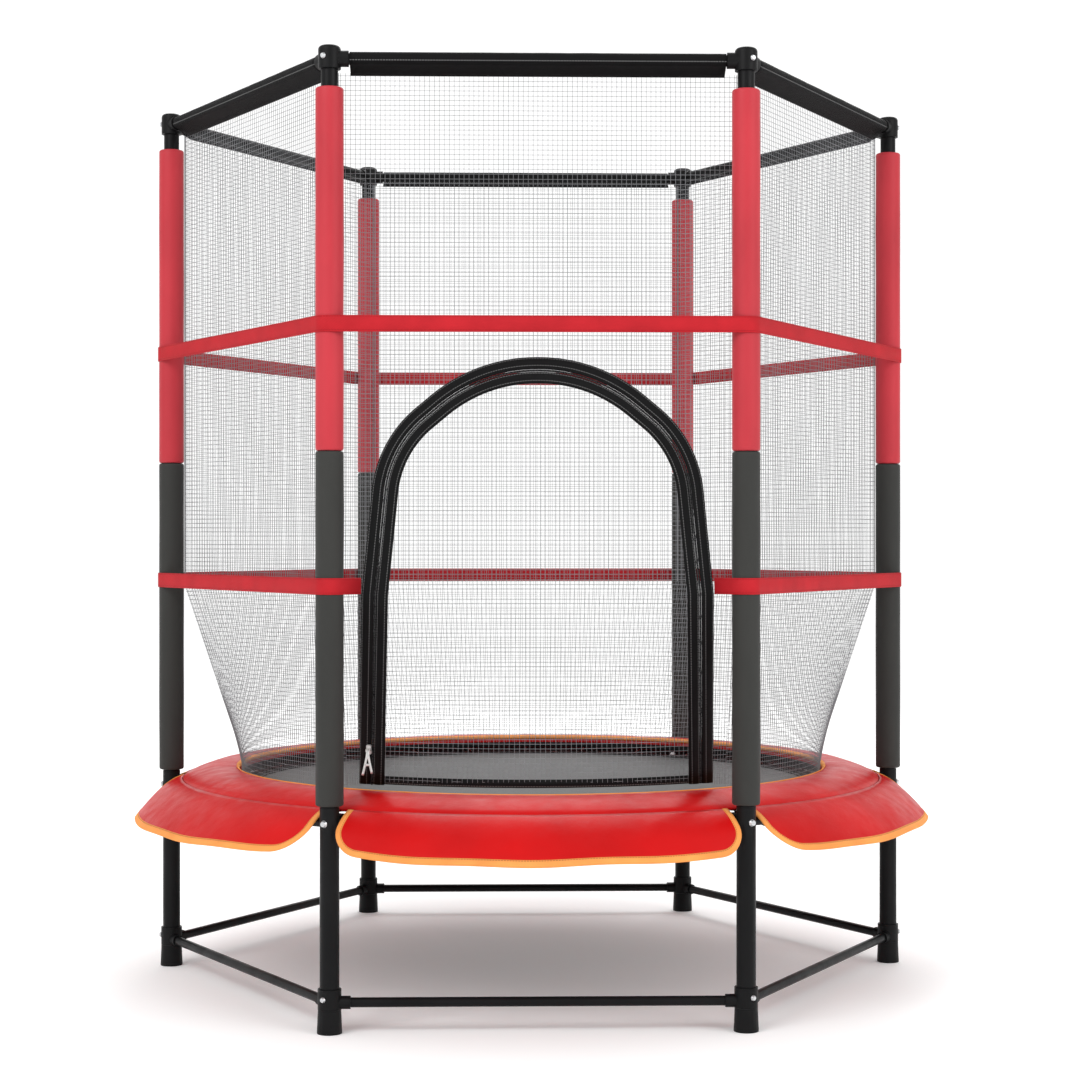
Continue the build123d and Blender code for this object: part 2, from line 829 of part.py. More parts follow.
def band_ring_face(corners, thickness, height):
    """Level face that runs round the outside of the padded posts at the given corners."""
    with BuildSketch(Plane.XY.offset(height)) as hollow:
        Polygon(*corners, align=None)
        offset(amount=foam_radius + fit_gap)
    with BuildSketch(Plane.XY.offset(height)) as ring:
        Polygon(*corners, align=None)
        offset(amount=foam_radius + fit_gap + thickness)
        add(hollow.sketch, mode=Mode.SUBTRACT)
    return ring.sketch


def make_upper_band():
    """Webbing band round the outside of the posts, above the door."""
    corners = [polar(post_circle_radius, angle) for angle in POSTS.values()]
    with BuildPart() as band:
        extrude(band_ring_face(corners, band_thickness, upper_band_height - band_width / 2), band_width)
    return band.part


def make_lower_band():
    """Webbing band round the posts that turns in at the front and ends at the door arch."""
    base = lower_band_height - band_width / 2
    reach = foam_radius + fit_gap + band_thickness / 2
    end = (arch_width(-door_gap), -net_apothem - band_thickness)
    post = polar(post_circle_radius, POSTS["front_right"])
    run = (end[0] - post[0], end[1] - post[1])
    tangent = atan2(run[1], run[0]) + acos(reach / hypot(*run))
    inner = (end[0] - reach * cos(tangent), end[1] - reach * sin(tangent))
    corners = [polar(post_circle_radius, angle) for angle in POSTS.values()]
    corners.insert(POSTS_BEFORE_FRONT, (-inner[0], inner[1]))
    corners.insert(POSTS_BEFORE_FRONT + 1, inner)
    with BuildPart() as band:
        extrude(band_ring_face(corners, band_thickness, base), band_width)
        with BuildSketch(Plane.XY.offset(base)):
            with Locations((0, -side_apothem)):
                Rectangle(2 * end[0], 6 * foam_radius)
        extrude(amount=band_width, mode=Mode.SUBTRACT)
    return band.part


def leg_seam():
    """Point, up, across and out directions of the zip on the arch's left foot leg."""
    foot_angle = 270 - arch_foot_angle(zip_line_inset)
    foot_xy = polar(net_foot_radius, foot_angle)
    foot = Vector(foot_xy[0], foot_xy[1], net_taper_end)
    top = Vector(-arch_width(zip_line_inset), -net_apothem, net_bend)
    up = (top - foot).normalized()
    turn = radians(arch_foot_angle(zip_line_inset) * slider_turn_share)
    across = Vector(-cos(turn), sin(turn), 0)
    out = across.cross(up).normalized()
    if out.Y > 0:
        out = -out
    start = foot + (top - foot) * ((slider_start - net_taper_end) / (net_bend - net_taper_end))
    return start, up, across, out


def make_zip_slider():
    """Slider beside the zip coil, with a bridge for the pull's eye."""
    start, up, across, out = leg_seam()
    lift = border_thickness / 2 + slider_stand_off
    face = start + across * slider_offset + out * lift
    body_plane = Plane(origin=face, x_dir=across, z_dir=out)
    pin_radius = bridge_thickness / 2
    with BuildPart() as slider:
        with BuildSketch(body_plane):
            RectangleRounded(slider_width, slider_length, slider_width / 4)
        extrude(amount=slider_depth)
        with BuildSketch(body_plane.offset(slider_depth)):
            with GridLocations(slider_width - bridge_thickness, 1, 2, 1):
                Rectangle(bridge_thickness, bridge_thickness * 2)
        extrude(amount=bridge_height)
        pin_origin = face + out * (slider_depth + bridge_height - pin_radius)
        pin_start = pin_origin - across * (slider_width / 2)
        with BuildSketch(Plane(origin=pin_start, x_dir=up, z_dir=across)):
            Circle(pin_radius)
        extrude(amount=slider_width)
    return slider.part


def make_zip_pull():
    """Pull tab that hangs from the slider's bridge."""
    start, up, across, out = leg_seam()
    lift = border_thickness / 2 + slider_stand_off + slider_depth + bridge_height
    pin_radius = bridge_thickness / 2
    pin = start + across * slider_offset + out * (lift - pin_radius)
    level_out = Vector(out.X, out.Y, 0).normalized()
    eye_radius = pin_radius + pull_pin_clearance
    neck = slider_width - 2 * bridge_thickness - 2 * pull_pin_clearance
    blade_start = eye_radius + pull_thickness
    with BuildPart() as pull:
        with BuildSketch(Plane(origin=pin - across * (neck / 2), x_dir=level_out, z_dir=across)):
            Circle(eye_radius + pull_thickness)
        extrude(amount=neck)
        hang = Plane(origin=pin, x_dir=-across, z_dir=level_out)
        with BuildSketch(hang.offset(-pull_thickness / 2)):
            with Locations((0, -blade_start)):
                Rectangle(neck, 2 * blade_start)
            with Locations((0, -2 * blade_start - pull_length / 2)):
                RectangleRounded(pull_width, pull_length, pull_width / 3)
            with Locations((0, -blade_start - pull_length)):
                SlotOverall(pull_length / 4, pull_width / 3, rotation=90, mode=Mode.SUBTRACT)
        extrude(amount=pull_thickness)
        with BuildSketch(Plane(origin=pin - across * slider_width, x_dir=level_out, z_dir=across)):
            Circle(eye_radius)
        extrude(amount=2 * slider_width, mode=Mode.SUBTRACT)
    return pull.part


def main():
    os.makedirs("parts", exist_ok=True)
    for post, angle in POSTS.items():
        save(make_leg(angle), f"leg_{post}")
        save(make_pole(angle), f"pole_{post}")
    for side, angle in SIDES.items():
        save(make_crossbar(angle), f"crossbar_{side}")
        save(make_ring_rail(angle), f"ring_rail_{side}")
        save(make_top_rail(angle), f"top_rail_{side}")
    save(make_foot_caps(), "foot_caps")
    save(make_lower_collars(), "lower_collars")
    save(make_ring_splices(), "ring_splices")
    save(make_ring_saddles(), "ring_saddles")
    save(make_ring_bolts(), "ring_bolts")
    save(make_ring_nuts(), "ring_nuts")
    save(make_small_bolts(), "small_bolts")
    save(make_foam_sleeves(foam_lower_end, foam_colour_change), "lower_foam_sleeves")
    save(
        make_foam_sleeves(foam_colour_change + foam_joint_gap, foam_upper_end),
        "upper_foam_sleeves",
    )
    save(make_corner_caps(), "corner_caps")
    save(make_net_hem(), "net_hem")
    save(make_mat(), "mat")
    save(make_mat_edge(), "mat_edge")
    save(make_mat_rings(), "mat_rings")
    save(make_elastic_loops(), "elastic_loops")
    save(make_pad_foam(), "pad_foam")
    save(make_pad_cover(), "pad_cover")
    save(make_skirt_flaps(), "skirt_flaps")
    save(make_upper_net(), "upper_net")
    save(make_front_net(), "front_net")
    save(make_lower_net(), "lower_net")
    save(make_net_ties(), "net_ties")
    save(make_upper_band(), "upper_band")
    save(make_lower_band(), "lower_band")
    save(make_arch_band(0, border_width, border_thickness), "door_surround")
    zip_start = border_width + zip_gap
    save(make_arch_band(zip_start, zip_start + zip_width, zip_thickness), "zip_coil")
    save(make_arch_band(door_border_inset, door_mesh_inset - zip_gap, border_thickness), "door_border")
    save(make_door_mesh(), "door_mesh")
    save(make_zip_slider(), "zip_slider")
    save(make_zip_pull(), "zip_pull")


main()
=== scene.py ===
"""Looks of a six-legged enclosed trampoline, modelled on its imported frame."""

import json
from itertools import product
from math import acos, asin, atan2, copysign, cos, degrees, hypot, pi, radians, sin

import bpy
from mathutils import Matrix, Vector, noise


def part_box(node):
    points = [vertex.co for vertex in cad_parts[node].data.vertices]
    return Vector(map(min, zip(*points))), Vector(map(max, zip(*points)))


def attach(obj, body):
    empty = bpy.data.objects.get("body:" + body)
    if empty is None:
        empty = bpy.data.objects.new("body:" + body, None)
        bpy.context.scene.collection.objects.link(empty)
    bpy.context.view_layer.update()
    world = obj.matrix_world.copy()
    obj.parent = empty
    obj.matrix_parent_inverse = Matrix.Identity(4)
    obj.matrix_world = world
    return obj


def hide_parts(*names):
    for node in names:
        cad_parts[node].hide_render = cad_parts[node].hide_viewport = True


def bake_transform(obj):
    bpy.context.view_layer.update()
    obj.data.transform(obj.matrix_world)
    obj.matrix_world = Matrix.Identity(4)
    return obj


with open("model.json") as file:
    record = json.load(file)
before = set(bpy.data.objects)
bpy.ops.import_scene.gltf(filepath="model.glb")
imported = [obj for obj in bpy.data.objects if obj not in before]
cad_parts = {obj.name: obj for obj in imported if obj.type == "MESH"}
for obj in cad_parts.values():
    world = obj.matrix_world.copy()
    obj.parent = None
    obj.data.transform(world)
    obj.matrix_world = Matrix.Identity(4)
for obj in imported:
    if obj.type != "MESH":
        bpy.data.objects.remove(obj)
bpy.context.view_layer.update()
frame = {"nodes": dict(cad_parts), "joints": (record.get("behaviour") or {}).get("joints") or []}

bl_info = {
    "name": "Enclosed trampoline",
    "version": (1, 0, 0),
    "blender": (4, 5, 0),
    "location": "View3D > Sidebar > Trampoline",
    "description": "Models the soft parts of an enclosed trampoline and finishes its frame",
    "category": "Add Mesh",
}

POSTS = {
    "right": 0,
    "rear_right": 60,
    "rear_left": 120,
    "left": 180,
    "front_left": 240,
    "front_right": 300,
}
SIDES = {
    "back_right": 30,
    "back": 90,
    "back_left": 150,
    "front_left": 210,
    "front": 270,
    "front_right": 330,
}
HALF_TURN = radians(30)
FRONT = radians(270)


def middle(node):
    """Centre of a frame node's box."""
    low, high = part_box(node)
    return (low + high) / 2


# Places taken from the frame
post_circle = middle("leg_right").x
side_apothem = post_circle * cos(HALF_TURN)
rail_height = middle("top_rail_front").z
ring_height = middle("ring_rail_front").z
ring_low, ring_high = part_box("ring_rail_front")
ring_tube_radius = (ring_high.z - ring_low.z) / 2
ring_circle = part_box("ring_rail_back")[1].y - ring_tube_radius
net_wall = -middle("front_net").y
net_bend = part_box("upper_net")[0].z
net_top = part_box("upper_net")[1].z
net_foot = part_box("lower_net")[0].z
net_half_side = net_wall * sin(HALF_TURN) / cos(HALF_TURN)
mat_low, mat_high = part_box("mat")
mat_radius = mat_high.x
pad_low, pad_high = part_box("pad_cover")
flap_low, flap_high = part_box("skirt_flaps")
door_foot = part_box("door_surround")[0].z

# Shape of the net's foot and of the door arch, as cut
net_foot_radius = 0.542
foot_hem_width = 0.0105
net_taper_end = 0.386
arch_foot_half_width = 0.298
arch_bend_half_width = 0.288
arch_shoulder = (0.263, 0.962)
arch_crown = (0.100, 1.098)
arch_rounds = (0.200, 0.270)
door_side_turn = radians(35.96)

# Insets of the door's strips from the arch's outer edge
surround_insets = (0.0, 0.0200)
zip_tape_insets = (0.0203, 0.0239)
zip_teeth_inset = 0.0221
door_border_insets = (0.0242, 0.0432)
door_net_inset = 0.0405


def finish_piece(piece, name, body, material, replaced=(), smooth=True):
    """Names a finished mesh, gives it its material and hangs it on its body."""
    piece.name = piece.data.name = name
    piece.data.materials.clear()
    piece.data.materials.append(material)
    if smooth:
        piece.data.shade_smooth()
    if replaced:
        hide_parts(*replaced)
    if body:
        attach(piece, body)
    return piece


def new_mesh(name, points, faces, uvs=None):
    """Mesh object at the origin, with UVs given face by face in metres."""
    mesh = bpy.data.meshes.new(name)
    mesh.from_pydata([tuple(p) for p in points], [], faces)
    if uvs:
        layer = mesh.uv_layers.new(name="Run")
        layer.data.foreach_set("uv", [value for uv in uvs for value in uv])
    mesh.update()
    piece = bpy.data.objects.new(name, mesh)
    bpy.context.scene.collection.objects.link(piece)
    return piece


def skin(name, rows, closed_run=False, closed_row=True, capped=True):
    """Surface through rows of points; UV runs along the rows' order and across each row."""
    count, width = len(rows), len(rows[0])
    points = [p for row in rows for p in row]
    run = [0.0]
    for k in range(count):
        run.append(run[-1] + (rows[(k + 1) % count][0] - rows[k][0]).length)
    across = [0.0]
    for j in range(width):
        across.append(across[-1] + (rows[0][(j + 1) % width] - rows[0][j]).length)
    faces, uvs = [], []
    for k in range(count if closed_run else count - 1):
        after = (k + 1) % count
        for j in range(width if closed_row else width - 1):
            beside = (j + 1) % width
            faces.append((k * width + j, k * width + beside, after * width + beside, after * width + j))
            uvs += [(run[k], across[j]), (run[k], across[j + 1])]
            uvs += [(run[k + 1], across[j + 1]), (run[k + 1], across[j])]
    if capped and closed_row and not closed_run:
        faces.append(tuple(reversed(range(width))))
        faces.append(tuple((count - 1) * width + j for j in range(width)))
        uvs += [(0, 0)] * (2 * width)
    return new_mesh(name, points, faces, uvs)


def face_outwards(piece):
    """Turns every face of a closed piece outwards."""
    deselect()
    piece.select_set(True)
    bpy.context.view_layer.objects.active = piece
    bpy.ops.object.mode_set(mode="EDIT")
    bpy.ops.mesh.select_all(action="SELECT")
    bpy.ops.mesh.normals_make_consistent(inside=False)
    bpy.ops.object.mode_set(mode="OBJECT")
    piece.select_set(False)
    return piece


def deselect():
    bpy.ops.object.select_all(action="DESELECT")


def turned(name, outline, steps, joined=False):
    """Shape turned from a (radius, height) outline: a circle extruded and scaled from point to point."""
    deselect()
    radius, height = outline[0]
    bpy.ops.mesh.primitive_circle_add(vertices=steps, radius=radius, location=(0, 0, height))
    piece = bpy.context.object
    bpy.ops.object.mode_set(mode="EDIT")
    bpy.ops.mesh.select_all(action="SELECT")
    for (radius, height), (next_radius, next_height) in zip(outline, outline[1:]):
        step = (0, 0, next_height - height)
        bpy.ops.mesh.extrude_region_move(TRANSFORM_OT_translate={"value": step})
        scale = next_radius / radius
        bpy.ops.transform.resize(value=(scale, scale, 1), center_override=(0, 0, next_height))
    bpy.ops.mesh.select_all(action="SELECT")
    if joined:
        bpy.ops.mesh.remove_doubles(threshold=1e-5)
    bpy.ops.mesh.normals_make_consistent(inside=False)
    bpy.ops.object.mode_set(mode="OBJECT")
    bpy.ops.object.transform_apply(location=True, rotation=True, scale=True)
    piece.name = name
    piece.select_set(False)
    return piece


def thickened(piece, thickness, offset=0.0):
    """Gives a single surface its thickness."""
    deselect()
    piece.select_set(True)
    bpy.context.view_layer.objects.active = piece
    wall = piece.modifiers.new("Wall", "SOLIDIFY")
    wall.thickness = thickness
    wall.offset = offset
    wall.use_even_offset = True
    bpy.ops.object.modifier_apply(modifier=wall.name)
    piece.select_set(False)
    return piece


def copied(piece, name):
    """Copy of a piece with a mesh of its own."""
    twin = piece.copy()
    twin.data = piece.data.copy()
    twin.name = name
    bpy.context.scene.collection.objects.link(twin)
    return twin


def discard(piece):
    mesh = piece.data
    bpy.data.objects.remove(piece)
    bpy.data.meshes.remove(mesh)


def moved(piece, change):
    """Moves each vertex to where change() puts it."""
    for vertex in piece.data.vertices:
        vertex.co = change(vertex.co)
    piece.data.update()
    return piece


def compass(turn, radius, height):
    return Vector((radius * cos(turn), radius * sin(turn), height))


def outward(turn):
    return Vector((cos(turn), sin(turn), 0))


def along(turn):
    return Vector((-sin(turn), cos(turn), 0))


# Materials


def put(tree, value, socket):
    if isinstance(value, bpy.types.NodeSocket):
        tree.links.new(value, socket)
    else:
        socket.default_value = value


def add_node(tree, kind, values=None, **settings):
    """Node with its settings and its inputs by name, each a number or another node's socket."""
    made = tree.nodes.new(kind)
    for key, value in settings.items():
        setattr(made, key, value)
    for key, value in (values or {}).items():
        put(tree, value, made.inputs[key])
    return made


def work(tree, operation, first, second=0.0):
    return add_node(tree, "ShaderNodeMath", {0: first, 1: second}, operation=operation).outputs[0]


def blank_material(name, colour, roughness, metallic=0.0, **shader):
    """Material with a principled shader and its even values set on it."""
    material = bpy.data.materials.new(name)
    material.use_nodes = True
    tree = material.node_tree
    principled = tree.nodes["Principled BSDF"]
    principled.inputs["Base Color"].default_value = (*colour, 1)
    principled.inputs["Roughness"].default_value = roughness
    principled.inputs["Metallic"].default_value = metallic
    for key, value in shader.items():
        principled.inputs[key.replace("_", " ")].default_value = value
    material.diffuse_color = (*colour, 1)
    return material, tree, principled


def coordinates(tree, kind="Object"):
    return add_node(tree, "ShaderNodeTexCoord").outputs[kind]


def grain(tree, vector, scale, detail=3.0, stretch=None):
    """Noise value, optionally stretched along an axis."""
    if stretch:
        vector = add_node(tree, "ShaderNodeMapping", {"Vector": vector, "Scale": stretch}).outputs[0]
    values = {"Vector": vector, "Scale": scale, "Detail": detail}
    return add_node(tree, "ShaderNodeTexNoise", values).outputs["Fac"]


def ramp(tree, value, low, high, to_low=0.0, to_high=1.0):
    values = {"Value": value, "From Min": low, "From Max": high, "To Min": to_low, "To Max": to_high}
    return add_node(tree, "ShaderNodeMapRange", values, clamp=True).outputs["Result"]


def shaded(tree, colour, factor, dark, light):
    """Colour that wanders between a darker and a lighter tone of itself."""
    mix = add_node(tree, "ShaderNodeMix", {"Factor": factor}, data_type="RGBA")
    mix.inputs[6].default_value = (*[c * dark for c in colour], 1)
    mix.inputs[7].default_value = (*[min(1, c * light) for c in colour], 1)
    return mix.outputs[2]


def tint(tree, principled, colour, factor, dark, light):
    put(tree, shaded(tree, colour, factor, dark, light), principled.inputs["Base Color"])


def gloss(tree, principled, value, low, high):
    """Roughness that follows a noise."""
    put(tree, ramp(tree, value, 0.3, 0.7, low, high), principled.inputs["Roughness"])


def relief(tree, principled, height, strength, distance, normal=None):
    values = {"Height": height, "Strength": strength, "Distance": distance}
    if normal is not None:
        values["Normal"] = normal
    bump = add_node(tree, "ShaderNodeBump", values)
    tree.links.new(bump.outputs[0], principled.inputs["Normal"])
    return bump.outputs[0]


def coated_tube(name, colour, roughness=0.34):
    """Powder-coated steel tube: fine orange peel and a little handling wear."""
    material, tree, principled = blank_material(name, colour, roughness, Specular_IOR_Level=0.12)
    place = coordinates(tree)
    tone = grain(tree, place, 9, 4)
    tint(tree, principled, colour, ramp(tree, tone, 0.35, 0.65), 0.8, 1.25)
    gloss(tree, principled, grain(tree, place, 30), roughness - 0.05, roughness + 0.1)
    relief(tree, principled, grain(tree, place, 900, 2), 0.25, 0.0004)
    return material


def moulded(name, colour, roughness=0.45):
    """Moulded plastic with a spark-eroded grain."""
    material, tree, principled = blank_material(name, colour, roughness, Specular_IOR_Level=0.15)
    place = coordinates(tree)
    tone = ramp(tree, grain(tree, place, 25), 0.3, 0.7)
    tint(tree, principled, colour, tone, 0.85, 1.2)
    gloss(tree, principled, grain(tree, place, 60), roughness - 0.08, roughness + 0.08)
    relief(tree, principled, grain(tree, place, 1500, 1), 0.3, 0.0003)
    return material


def plated(name, colour, roughness=0.28):
    """Zinc-plated or painted small metal parts with light wear."""
    material, tree, principled = blank_material(name, colour, roughness, metallic=0.85)
    place = coordinates(tree)
    wear = ramp(tree, grain(tree, place, 220, 5), 0.3, 0.75)
    tint(tree, principled, colour, wear, 0.8, 1.1)
    put(tree, ramp(tree, wear, 0, 1, roughness, roughness + 0.2), principled.inputs["Roughness"])
    relief(tree, principled, grain(tree, place, 1200, 2), 0.15, 0.0002)
    return material


def foam_cover(name, colour, roughness):
    """Soft skin of a foam sleeve: leathery grain, faint upright ripples and a soft sheen."""
    material, tree, principled = blank_material(
        name, colour, roughness, Specular_IOR_Level=0.2, Sheen_Weight=0.04, Sheen_Roughness=0.5
    )
    place = coordinates(tree)
    tone = ramp(tree, grain(tree, place, 14, 3, stretch=(1, 1, 0.35)), 0.3, 0.7)
    tint(tree, principled, colour, tone, 0.9, 1.1)
    cells = add_node(tree, "ShaderNodeTexVoronoi", {"Vector": place, "Scale": 900}).outputs["Distance"]
    ripple = grain(tree, place, 45, 2, stretch=(1, 1, 0.25))
    first = relief(tree, principled, ripple, 0.35, 0.0012)
    relief(tree, principled, cells, 0.2, 0.0003, first)
    return material


def coated_cloth(name, colour, roughness=0.36):
    """Coated polyester of the edge cover: cloth grid under a glossy skin, with soft creases."""
    material, tree, principled = blank_material(name, colour, roughness + 0.08, Specular_IOR_Level=0.14)
    place = coordinates(tree)
    blotch = ramp(tree, grain(tree, place, 6, 4), 0.3, 0.7)
    tint(tree, principled, colour, blotch, 0.86, 1.1)
    gloss(tree, principled, grain(tree, place, 35), roughness - 0.06, roughness + 0.1)
    creases = grain(tree, place, 16, 4, stretch=(1, 1, 0.5))
    first = relief(tree, principled, creases, 0.5, 0.004)
    parts = add_node(tree, "ShaderNodeSeparateXYZ", {0: place})
    across = work(tree, "SINE", work(tree, "MULTIPLY", parts.outputs[0], 3600))
    upright = work(tree, "SINE", work(tree, "MULTIPLY", parts.outputs[1], 3600))
    relief(tree, principled, work(tree, "MULTIPLY", across, upright), 0.1, 0.0003, first)
    return material


def stitches(tree, run, across, lines, pitch=0.0045, width=0.0007):
    """Mask of lock stitches: dashes along the run on each given line across it."""
    dash = work(tree, "LESS_THAN", work(tree, "FRACT", work(tree, "DIVIDE", run, pitch)), 0.72)
    total = None
    for line in lines:
        near = work(tree, "ABSOLUTE", work(tree, "SUBTRACT", across, line))
        on_line = work(tree, "LESS_THAN", near, width)
        total = on_line if total is None else work(tree, "MAXIMUM", total, on_line)
    return work(tree, "MULTIPLY", total, dash)


def webbing(name, colour, stitch_lines, stitch_colour, rib=0.0016, roughness=0.62, polar=False):
    """Woven strap: ribs across it, a twill along it and rows of stitches."""
    material, tree, principled = blank_material(name, colour, roughness, Specular_IOR_Level=0.1)
    if polar:
        parts = add_node(tree, "ShaderNodeSeparateXYZ", {0: coordinates(tree)})
        x, y = parts.outputs[0], parts.outputs[1]
        squares = work(tree, "ADD", work(tree, "MULTIPLY", x, x), work(tree, "MULTIPLY", y, y))
        across = work(tree, "SQRT", squares)
        run = work(tree, "MULTIPLY", work(tree, "ARCTAN2", y, x), mat_radius)
    else:
        parts = add_node(tree, "ShaderNodeSeparateXYZ", {0: coordinates(tree, "UV")})
        run, across = parts.outputs[0], parts.outputs[1]
    ribs = work(tree, "SINE", work(tree, "MULTIPLY", run, 2 * pi / rib))
    slant = work(tree, "ADD", across, work(tree, "MULTIPLY", run, 0.5))
    twill = work(tree, "SINE", work(tree, "MULTIPLY", slant, 2 * pi / (rib * 1.6)))
    weave = work(tree, "ADD", work(tree, "MULTIPLY", ribs, 0.5), work(tree, "MULTIPLY", twill, 0.5))
    sewn = stitches(tree, run, across, stitch_lines)
    wear = work(tree, "ADD", work(tree, "MULTIPLY", weave, 0.2), grain(tree, coordinates(tree), 18, 4))
    tone = ramp(tree, wear, 0.2, 0.8)
    mix = add_node(tree, "ShaderNodeMix", {"Factor": sewn}, data_type="RGBA")
    tree.links.new(shaded(tree, colour, tone, 0.82, 1.15), mix.inputs[6])
    mix.inputs[7].default_value = (*stitch_colour, 1)
    put(tree, mix.outputs[2], principled.inputs["Base Color"])
    height = work(tree, "ADD", weave, work(tree, "MULTIPLY", sewn, 3))
    relief(tree, principled, height, 0.4, 0.0004)
    return material


def woven(name, colour, pitch, roughness=0.55):
    """Plain weave of flat polypropylene tapes."""
    material, tree, principled = blank_material(name, colour, roughness)
    place = coordinates(tree)
    parts = add_node(tree, "ShaderNodeSeparateXYZ", {0: place})
    warp = work(tree, "SINE", work(tree, "MULTIPLY", parts.outputs[0], 2 * pi / pitch))
    weft = work(tree, "SINE", work(tree, "MULTIPLY", parts.outputs[1], 2 * pi / pitch))
    weave = work(tree, "MULTIPLY", warp, weft)
    tone = work(tree, "ADD", work(tree, "MULTIPLY", weave, 0.15), grain(tree, place, 5, 6))
    tint(tree, principled, colour, ramp(tree, tone, 0.25, 0.75), 0.85, 1.15)
    relief(tree, principled, weave, 0.35, 0.0004)
    return material


def yarn(name, colour, roughness=0.7):
    """Knitted net yarn, unevenly toned."""
    material, tree, principled = blank_material(name, colour, roughness)
    place = coordinates(tree)
    tone = ramp(tree, grain(tree, place, 7, 5), 0.3, 0.7)
    tint(tree, principled, colour, tone, 0.75, 1.15)
    relief(tree, principled, grain(tree, place, 1400, 1), 0.3, 0.0002)
    return material


def settings():
    return bpy.context.scene.trampoline_sizes, bpy.context.scene.trampoline_colours


# Shared shapes


def strap(name, path, normals, width, thickness, closed, upright=Vector((0, 0, 1))):
    """Flat strap along a path, lying against its normals, with softly rounded edges."""
    half, face, thick = width / 2, width / 2 - thickness * 0.45, thickness / 2
    profile = [(-half, 0), (-face, thick), (face, thick), (half, 0), (face, -thick), (-face, -thick)]
    rows = []
    for k, (point, normal) in enumerate(zip(path, normals)):
        side = upright
        if upright is None:
            before = path[k - 1] if closed or k else path[k]
            after = path[(k + 1) % len(path)] if closed or k + 1 < len(path) else path[k]
            side = (after - before).cross(normal).normalized()
        rows.append([point + side * a + normal * b for a, b in profile])
    return face_outwards(skin(name, rows, closed_run=closed))


def yarn_lines(name, lines, width, depth):
    """Net of yarns: each line is its points and the direction its flat faces look to."""
    points, faces = [], []
    for line, normal in lines:
        start = len(points)
        for k, point in enumerate(line):
            tangent = line[min(k + 1, len(line) - 1)] - line[max(k - 1, 0)]
            side = tangent.cross(normal).normalized() * (width / 2)
            lift = normal * (depth / 2)
            points += [point - side - lift, point + side - lift]
            points += [point + side + lift, point - side + lift]
        for k in range(len(line) - 1):
            base = start + 4 * k
            for j in range(4):
                beside = (j + 1) % 4
                faces.append((base + 4 + j, base + 4 + beside, base + beside, base + j))
        last = start + 4 * (len(line) - 1)
        faces.append((start, start + 1, start + 2, start + 3))
        faces.append((last + 3, last + 2, last + 1, last))
    return new_mesh(name, points, faces)


def ring_of_copies(blank, name, count):
    """Turns a piece made at +X into copies spread evenly round the centre, each with its turn."""
    copies = []
    for k in range(count):
        turn = radians((k + 0.5) * 360 / count)

        def placed(co, turn=turn):
            return outward(turn) * co.x + along(turn) * co.y + Vector((0, 0, co.z))

        copies.append((moved(copied(blank, f"{name}_{k + 1:02d}"), placed), turn))
    discard(blank)
    return copies


def arch_curve():
    """Right half of the arch's outer edge from the crown down to the bend, with inward normals."""
    corners = [(0, arch_crown[1]), arch_crown, arch_shoulder, (arch_bend_half_width, net_bend)]
    points = [(0.0, arch_crown[1], 0.0, -1.0)]
    for k, radius in ((1, arch_rounds[1]), (2, arch_rounds[0])):
        before, corner, after = (Vector(corners[j]) for j in (k - 1, k, k + 1))
        into, out = (corner - before).normalized(), (after - corner).normalized()
        turn = into.angle(out)
        inward = Vector((into.y, -into.x))
        centre = corner - into * (radius * sin(turn / 2) / cos(turn / 2)) + inward * radius
        start = atan2(-inward.y, -inward.x)
        for j in range(17):
            angle = start - turn * j / 16
            x, z = centre.x + radius * cos(angle), centre.y + radius * sin(angle)
            points.append((x, z, -cos(angle), -sin(angle)))
    last = points[-1]
    for share in (0.25, 0.5, 0.75):
        x = last[0] + (arch_bend_half_width - last[0]) * share
        z = last[1] + (net_bend - last[1]) * share
        points.append((x, z, last[2], last[3]))
    return points


ARCH = arch_curve()
arch_lean = (arch_bend_half_width - arch_shoulder[0]) / (arch_shoulder[1] - net_bend)


def arch_width(inset):
    return arch_bend_half_width - inset * hypot(1, arch_lean)


def arch_foot_turn(inset):
    return asin((arch_foot_half_width - inset) / net_foot_radius)


def arch_edge(inset):
    """Right half of the arch as (x, z), inset from its outer edge, from the crown to the bend."""
    edge = [(x + nx * inset, z + nz * inset) for x, z, nx, nz in ARCH]
    return edge + [(arch_width(inset), net_bend)]


def arch_height(x, inset):
    """Height of the arch's edge above a place across the front."""
    edge = arch_edge(inset)
    x = abs(x)
    for (x0, z0), (x1, z1) in zip(edge, edge[1:]):
        if x0 <= x <= x1:
            return z0 + (z1 - z0) * (x - x0) / max(x1 - x0, 1e-9)
    return net_bend


def arch_half_width(z, inset):
    """Half width of the arch's edge at a height."""
    edge = arch_edge(inset)
    for (x0, z0), (x1, z1) in zip(edge, edge[1:]):
        if z1 <= z <= z0:
            return x0 + (x1 - x0) * (z0 - z) / max(z0 - z1, 1e-9)
    return 0.0


def arch_run(inset):
    """The whole arch at one inset, from its left foot over the crown to its right foot."""
    half = []
    for x, z in arch_edge(inset):
        half.append((Vector((x, -net_wall, z)), Vector((0, -1, 0))))
    turn = arch_foot_turn(inset)
    foot = compass(FRONT + turn, net_foot_radius, door_foot)
    bend = half[-1][0].copy()
    leg = (foot - bend).normalized()
    for share in [j / 12 for j in range(1, 13)]:
        normal = Vector((0, -1, 0)).lerp(outward(FRONT + turn), share)
        normal = (normal - leg * normal.dot(leg)).normalized()
        half.append((bend.lerp(foot, share), normal))
    mirror = [(Vector((-p.x, p.y, p.z)), Vector((-n.x, n.y, n.z))) for p, n in half[1:]]
    return list(reversed(mirror)) + half


